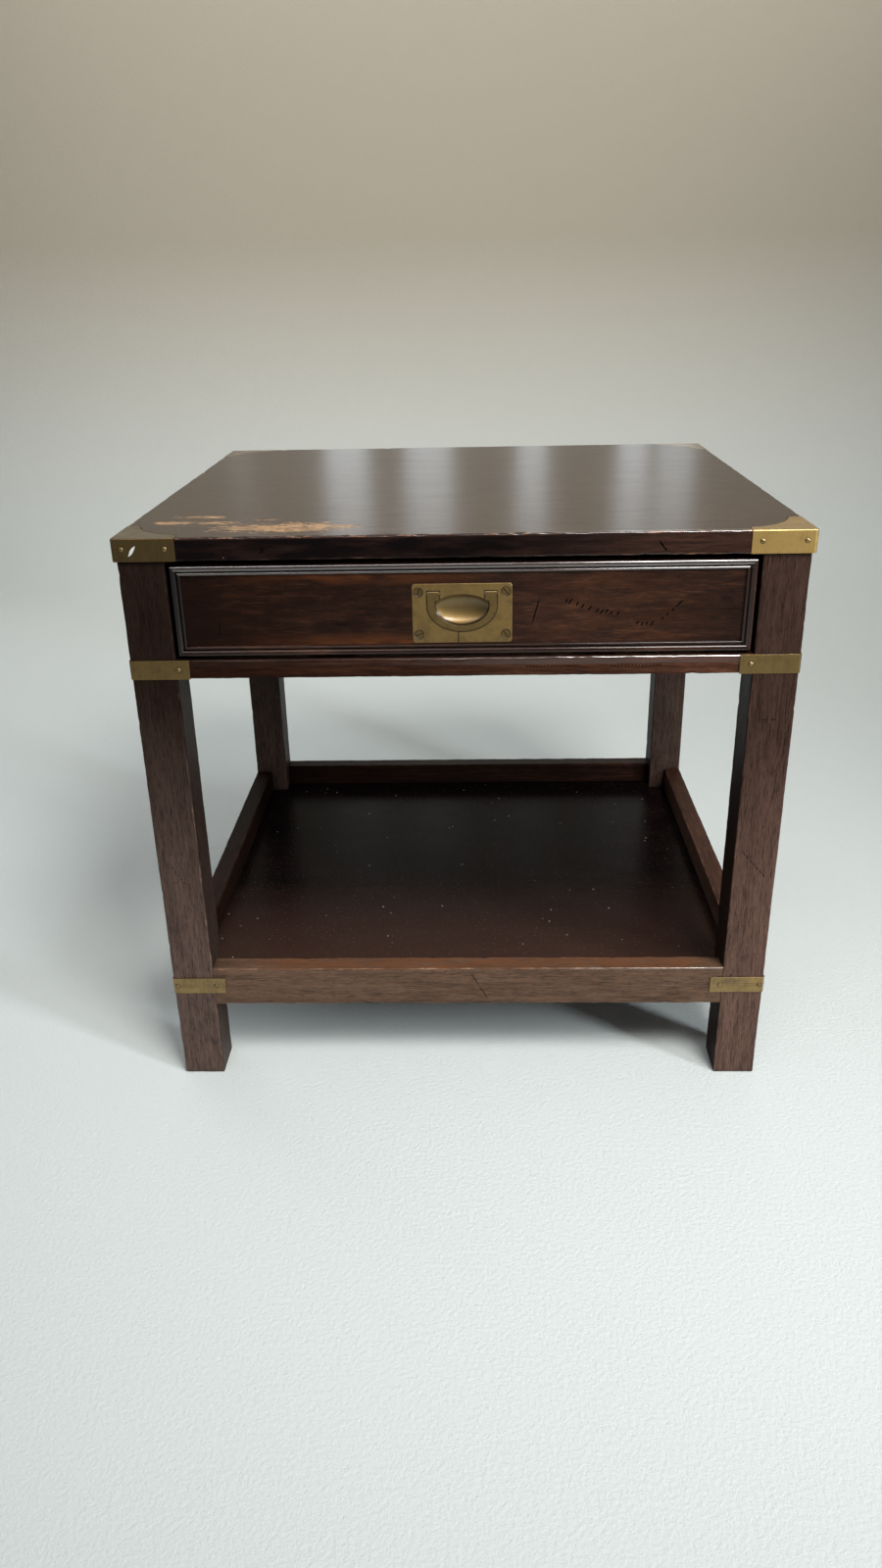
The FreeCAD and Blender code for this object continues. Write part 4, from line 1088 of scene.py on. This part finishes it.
def build_mouldings():
    """Four mitred lengths of moulding round the drawer's field, a little uneven by hand."""
    # Each side: its length's axis, which way is inward, its gloss, and its tones, which on the
    # left carry painted shade.
    sides = {
        "top": (0, -1, {"coat": 0.85}, STAIN),
        "bottom": (0, 1, {"coat": 0.06, "specular": 0.28}, STAIN),
        "left": (2, 1, {"coat": 0.2}, PAINTED_SHADE_TONES),
        "right": (2, -1, {"coat": 0.5}, STAIN),
    }
    boxes = [box_mm(f"drawer_moulding_{side}") for side in sides]
    low = np.min([near for near, _ in boxes], axis=0)
    high = np.max([far for _, far in boxes], axis=0)
    section = np.array(moulding_profile())
    n = len(section)
    for seed, (side, (along, inward, gloss, tones)) in enumerate(sides.items(), start=51):
        across = 2 - along
        stations = round((high[along] - low[along]) / 5.0)
        points = []
        for k in range(stations + 1):
            share = k / stations
            ring = np.zeros((n, 3))
            start, end = low[along] + section[:, 0], high[along] - section[:, 0]
            ring[:, along] = start + (end - start) * share
            edge = low[across] if inward > 0 else high[across]
            ring[:, across] = edge + inward * section[:, 0]
            ring[:, 1] = high[1] - section[:, 1]
            points.append(ring)
        points = np.concatenate(points)
        wobble = noise_at(points, 24.0, seed) * 0.6 + noise_at(points, 7.0, seed + 9) * 0.4
        raised = np.clip((high[1] - points[:, 1]) / 1.0, 0.0, 1.0)
        points[:, 1] += raised * (0.1 + 0.1 * wobble)
        faces = [tuple(range(n)), tuple(range(stations * n, (stations + 1) * n))]
        for k in range(stations):
            for a in range(n):
                b = (a + 1) % n
                faces.append((k * n + a, k * n + b, (k + 1) * n + b, (k + 1) * n + a))
        piece = new_object(f"worn_moulding_{side}", points * MM, faces)
        tidy_normals(piece)
        finish = wood(f"wood_moulding_{side}", "xyz"[along], seed, tones, MOULDING_LOOK | gloss)
        piece.data.materials.append(finish)
        smooth(piece, 50.0)
        stand_for(piece, f"drawer_moulding_{side}")


def dress_inside():
    """The pieces that show only with the drawer out, and the shelf."""
    along_y = wood("wood_inside_y", "y", 61, PALE, INSIDE_LOOK)
    along_x = wood("wood_inside_x", "x", 62, PALE, INSIDE_LOOK)
    for side in ("left", "right"):
        for part in ("runner", "guide", "kicker", "side"):
            dress(f"drawer_{part}_{side}", along_y, 0.4)
    for part, width in (("stops", 0.4), ("back", 0.4), ("bottom", 0.3)):
        dress(f"drawer_{part}", along_x, width)
    dress("shelf_panel", wood("wood_shelf", "x", 63, SHELF, SHELF_LOOK), 0.3)


def dress_metal():
    # How bright each fitting is painted, as painted light on the right and painted shade on the
    # left and at the back: a corner, the strap below it, the strap by the floor.
    tones = {
        "front_left": (0.34, 0.5, 0.52),
        "front_right": (1.2, 0.5, 0.54),
        "back_left": (0.4, 0.4, 0.5),
        "back_right": (0.6, 0.4, 0.5),
    }
    for seed, (side, (corner, upper, lower)) in enumerate(tones.items(), start=71):
        dress(f"brass_corner_{side}", brass(f"brass_{side}", seed, corner, 0.4), 0.3, 3)
        dress(f"upper_strap_{side}", brass(f"strap_{side}", seed + 10, upper, 0.2), 0.25)
        dress(f"lower_strap_{side}", brass(f"low_strap_{side}", seed + 20, lower, 0.2), 0.25)
    pins = brass("brass_pins", 81, 0.55, 0.1)
    for node in ("corner_pins", "upper_strap_pins", "lower_strap_pins"):
        dress(node, pins, 0.0)
    dress("pull_plate", brass("brass_plate", 91, 0.58, 0.15, (0.6, 0.46), lined=True), 0.55, 3)
    dress("pull_bail", brass("brass_bail", 92, 0.5, 0.1, lined=True), 0.8, 3)
    dress("pull_screws", brass("brass_screws", 93, 0.45, 0.1), 0.4)
    dull = steel("screw_steel")
    for node in ("top_screws", "drawer_bottom_screws", "pull_hinge_pins"):
        dress(node, dull, 0.1)


def build_paint_fleck():
    """A small fleck of white paint across the left front corner's brass."""
    low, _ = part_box("brass_corner_front_left")
    around, thick, sunk = 18, 0.25, 0.05
    half_long, half_wide, taper = 5.4, 1.35, 0.8
    start, end = Vector((15.5, 0.0, 5.0)), Vector((21.5, 0.0, 13.5))
    along = (end - start).normalized()
    across = Vector((along.z, 0.0, -along.x))
    draw = np.random.default_rng(5)
    rim = []
    for turn in range(around):
        angle = 2 * math.pi * turn / around
        wobble = 1 + draw.uniform(-0.14, 0.14)
        out = along * (half_long * math.cos(angle)) + across * (half_wide * math.sin(angle))
        rim.append(out * wobble)
    middle = low / MM + (start + end) / 2
    points = [middle + place + Vector((0, sunk, 0)) for place in rim]
    points += [middle + taper * place - Vector((0, thick, 0)) for place in rim]
    faces = [tuple(range(around)), tuple(range(around, 2 * around))]
    faces += [(k, (k + 1) % around, around + (k + 1) % around, around + k) for k in range(around)]
    piece = new_object("paint_fleck", [p * MM for p in points], faces)
    tidy_normals(piece)
    piece.data.materials.append(plain("fleck_paint", colour(214, 214, 208), 0.5))
    smooth(piece, 60.0)
    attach(piece, "carcass")


# ---------------------------------------------------------------- studio


def build_stage():
    """A pale floor that sweeps up into a plain wall behind the table."""
    reach, wall_y, bend, wall_top = 6.0, 2.6, 0.9, 3.2
    outline = [(-reach, 0.0), (wall_y - bend, 0.0)]
    steps = 16
    for k in range(1, steps + 1):
        angle = math.pi / 2 * k / steps
        outline.append((wall_y - bend + bend * math.sin(angle), bend - bend * math.cos(angle)))
    outline.append((wall_y, wall_top))
    points = [(x, y, z) for y, z in outline for x in (-reach, reach)]
    faces = [(2 * k, 2 * k + 1, 2 * k + 3, 2 * k + 2) for k in range(len(outline) - 1)]
    stage = new_object("studio_sweep", points, faces)
    stage.data.shade_smooth()
    stage.data.materials.append(floor_paint())


# Soft upright lights behind the table, as (place across, width, power): they gloss its top.
STRIPS = (
    (-0.64, 0.06, 0.015),
    (-0.34, 0.12, 0.2),
    (-0.11, 0.13, 0.2),
    (0.18, 0.08, 0.13),
    (0.46, 0.08, 0.14),
    (0.58, 0.1, 0.13),
)


DAYLIGHT = (0.95, 0.97, 1.0)
COOL = (0.9, 0.95, 1.0)
# Each lamp's name, place, target, size, power, tint and spread in degrees.
LAMPS = (
    ("key", (0.8, -1.6, 2.25), (0.05, 0.1, 0.1), (0.9, 0.8), 11.6, (1.0, 0.985, 0.96), 80),
    ("window", (1.9, -1.5, 1.15), (0.1, -0.3, 0.5), (0.3, 0.7), 5.0, COOL, 60),
    ("overhead", (0.1, 0.9, 2.9), (0.1, 0.6, 0.0), (2.8, 2.2), 5.4, (0.95, 0.98, 1.0), 110),
    ("fill", (-2.0, -0.9, 1.5), (0.0, 0.0, 0.3), (1.4, 1.4), 1.0, COOL, 90),
    ("front", (-0.4, -1.6, 2.25), (0.0, -0.2, 0.3), (1.1, 0.3), 1.1, DAYLIGHT, 60),
    ("behind", (-1.8, 1.6, 0.8), (0.0, 0.2, 0.3), (1.0, 1.0), 2.5, DAYLIGHT, 90),
    ("wall", (0.0, 1.5, 2.7), (0.0, 2.6, 1.0), (3.5, 0.6), 20.0, (1.0, 0.98, 0.94), 120),
)


def area_light(name, place, target, size, power, tint, spread):
    lamp = bpy.data.lights.new(name, "AREA")
    lamp.spread = math.radians(spread)
    lamp.shape = "RECTANGLE"
    lamp.size, lamp.size_y = size
    lamp.energy = power
    lamp.color = tint
    made = bpy.data.objects.new(name, lamp)
    made.location = place
    made.rotation_euler = (Vector(target) - Vector(place)).to_track_quat("-Z", "Y").to_euler()
    made.visible_camera = False
    bpy.context.scene.collection.objects.link(made)


def build_lights():
    for lamp in LAMPS:
        area_light(*lamp)
    back, height, tall = 2.0, 0.92, 0.5
    for k, (x, width, power) in enumerate(STRIPS):
        place, target = (x, back, height), (x, 0.0, height)
        area_light(f"strip_{k}", place, target, (width, tall), power, (0.85, 0.93, 1.0), 180)
    world = bpy.data.worlds.new("studio")
    world.use_nodes = True
    nodes, links = world.node_tree.nodes, world.node_tree.links
    backdrop = nodes["Background"]
    backdrop.inputs["Color"].default_value = (0.86, 0.92, 1.0, 1.0)
    backdrop.inputs["Strength"].default_value = 0.12
    # Past the edge of the sweep, where only the side views look, the backdrop is pale too.
    seen = nodes.new("ShaderNodeBackground")
    seen.inputs["Color"].default_value = colour(186, 190, 188)
    choice = nodes.new("ShaderNodeMixShader")
    links.new(nodes.new("ShaderNodeLightPath").outputs["Is Camera Ray"], choice.inputs[0])
    links.new(backdrop.outputs[0], choice.inputs[1])
    links.new(seen.outputs[0], choice.inputs[2])
    links.new(choice.outputs[0], nodes["World Output"].inputs["Surface"])
    bpy.context.scene.world = world


def build_camera():
    """A camera in front of the table and a little above it, tilted down and rolled."""
    yaw, pitch, roll = (math.radians(angle) for angle in (-1.81, -24.02, -1.18))
    place = (0.0089, -1.2484, 0.7708)
    level = Vector((math.cos(yaw), -math.sin(yaw), 0.0))
    ahead = Vector((math.sin(yaw), math.cos(yaw), 0.0))
    forward = ahead * math.cos(pitch) + Vector((0.0, 0.0, math.sin(pitch)))
    upright = level.cross(forward)
    right = level * math.cos(roll) + upright * math.sin(roll)
    up = upright * math.cos(roll) - level * math.sin(roll)
    lens = bpy.data.cameras.new("camera")
    lens.lens = 25.82
    lens.sensor_width = 36.0
    camera = bpy.data.objects.new("camera", lens)
    turn = Matrix((right, up, -forward)).transposed().to_4x4()
    camera.matrix_world = Matrix.Translation(place) @ turn
    bpy.context.scene.collection.objects.link(camera)
    bpy.context.scene.camera = camera


build_camera()
build_stage()
build_lights()
build_top()
build_legs()
build_rails()
build_drawer_front()
build_mouldings()
dress_inside()
dress_metal()
build_paint_fleck()
bpy.context.scene.view_settings.view_transform = "Standard"
bpy.context.scene.view_settings.look = "None"
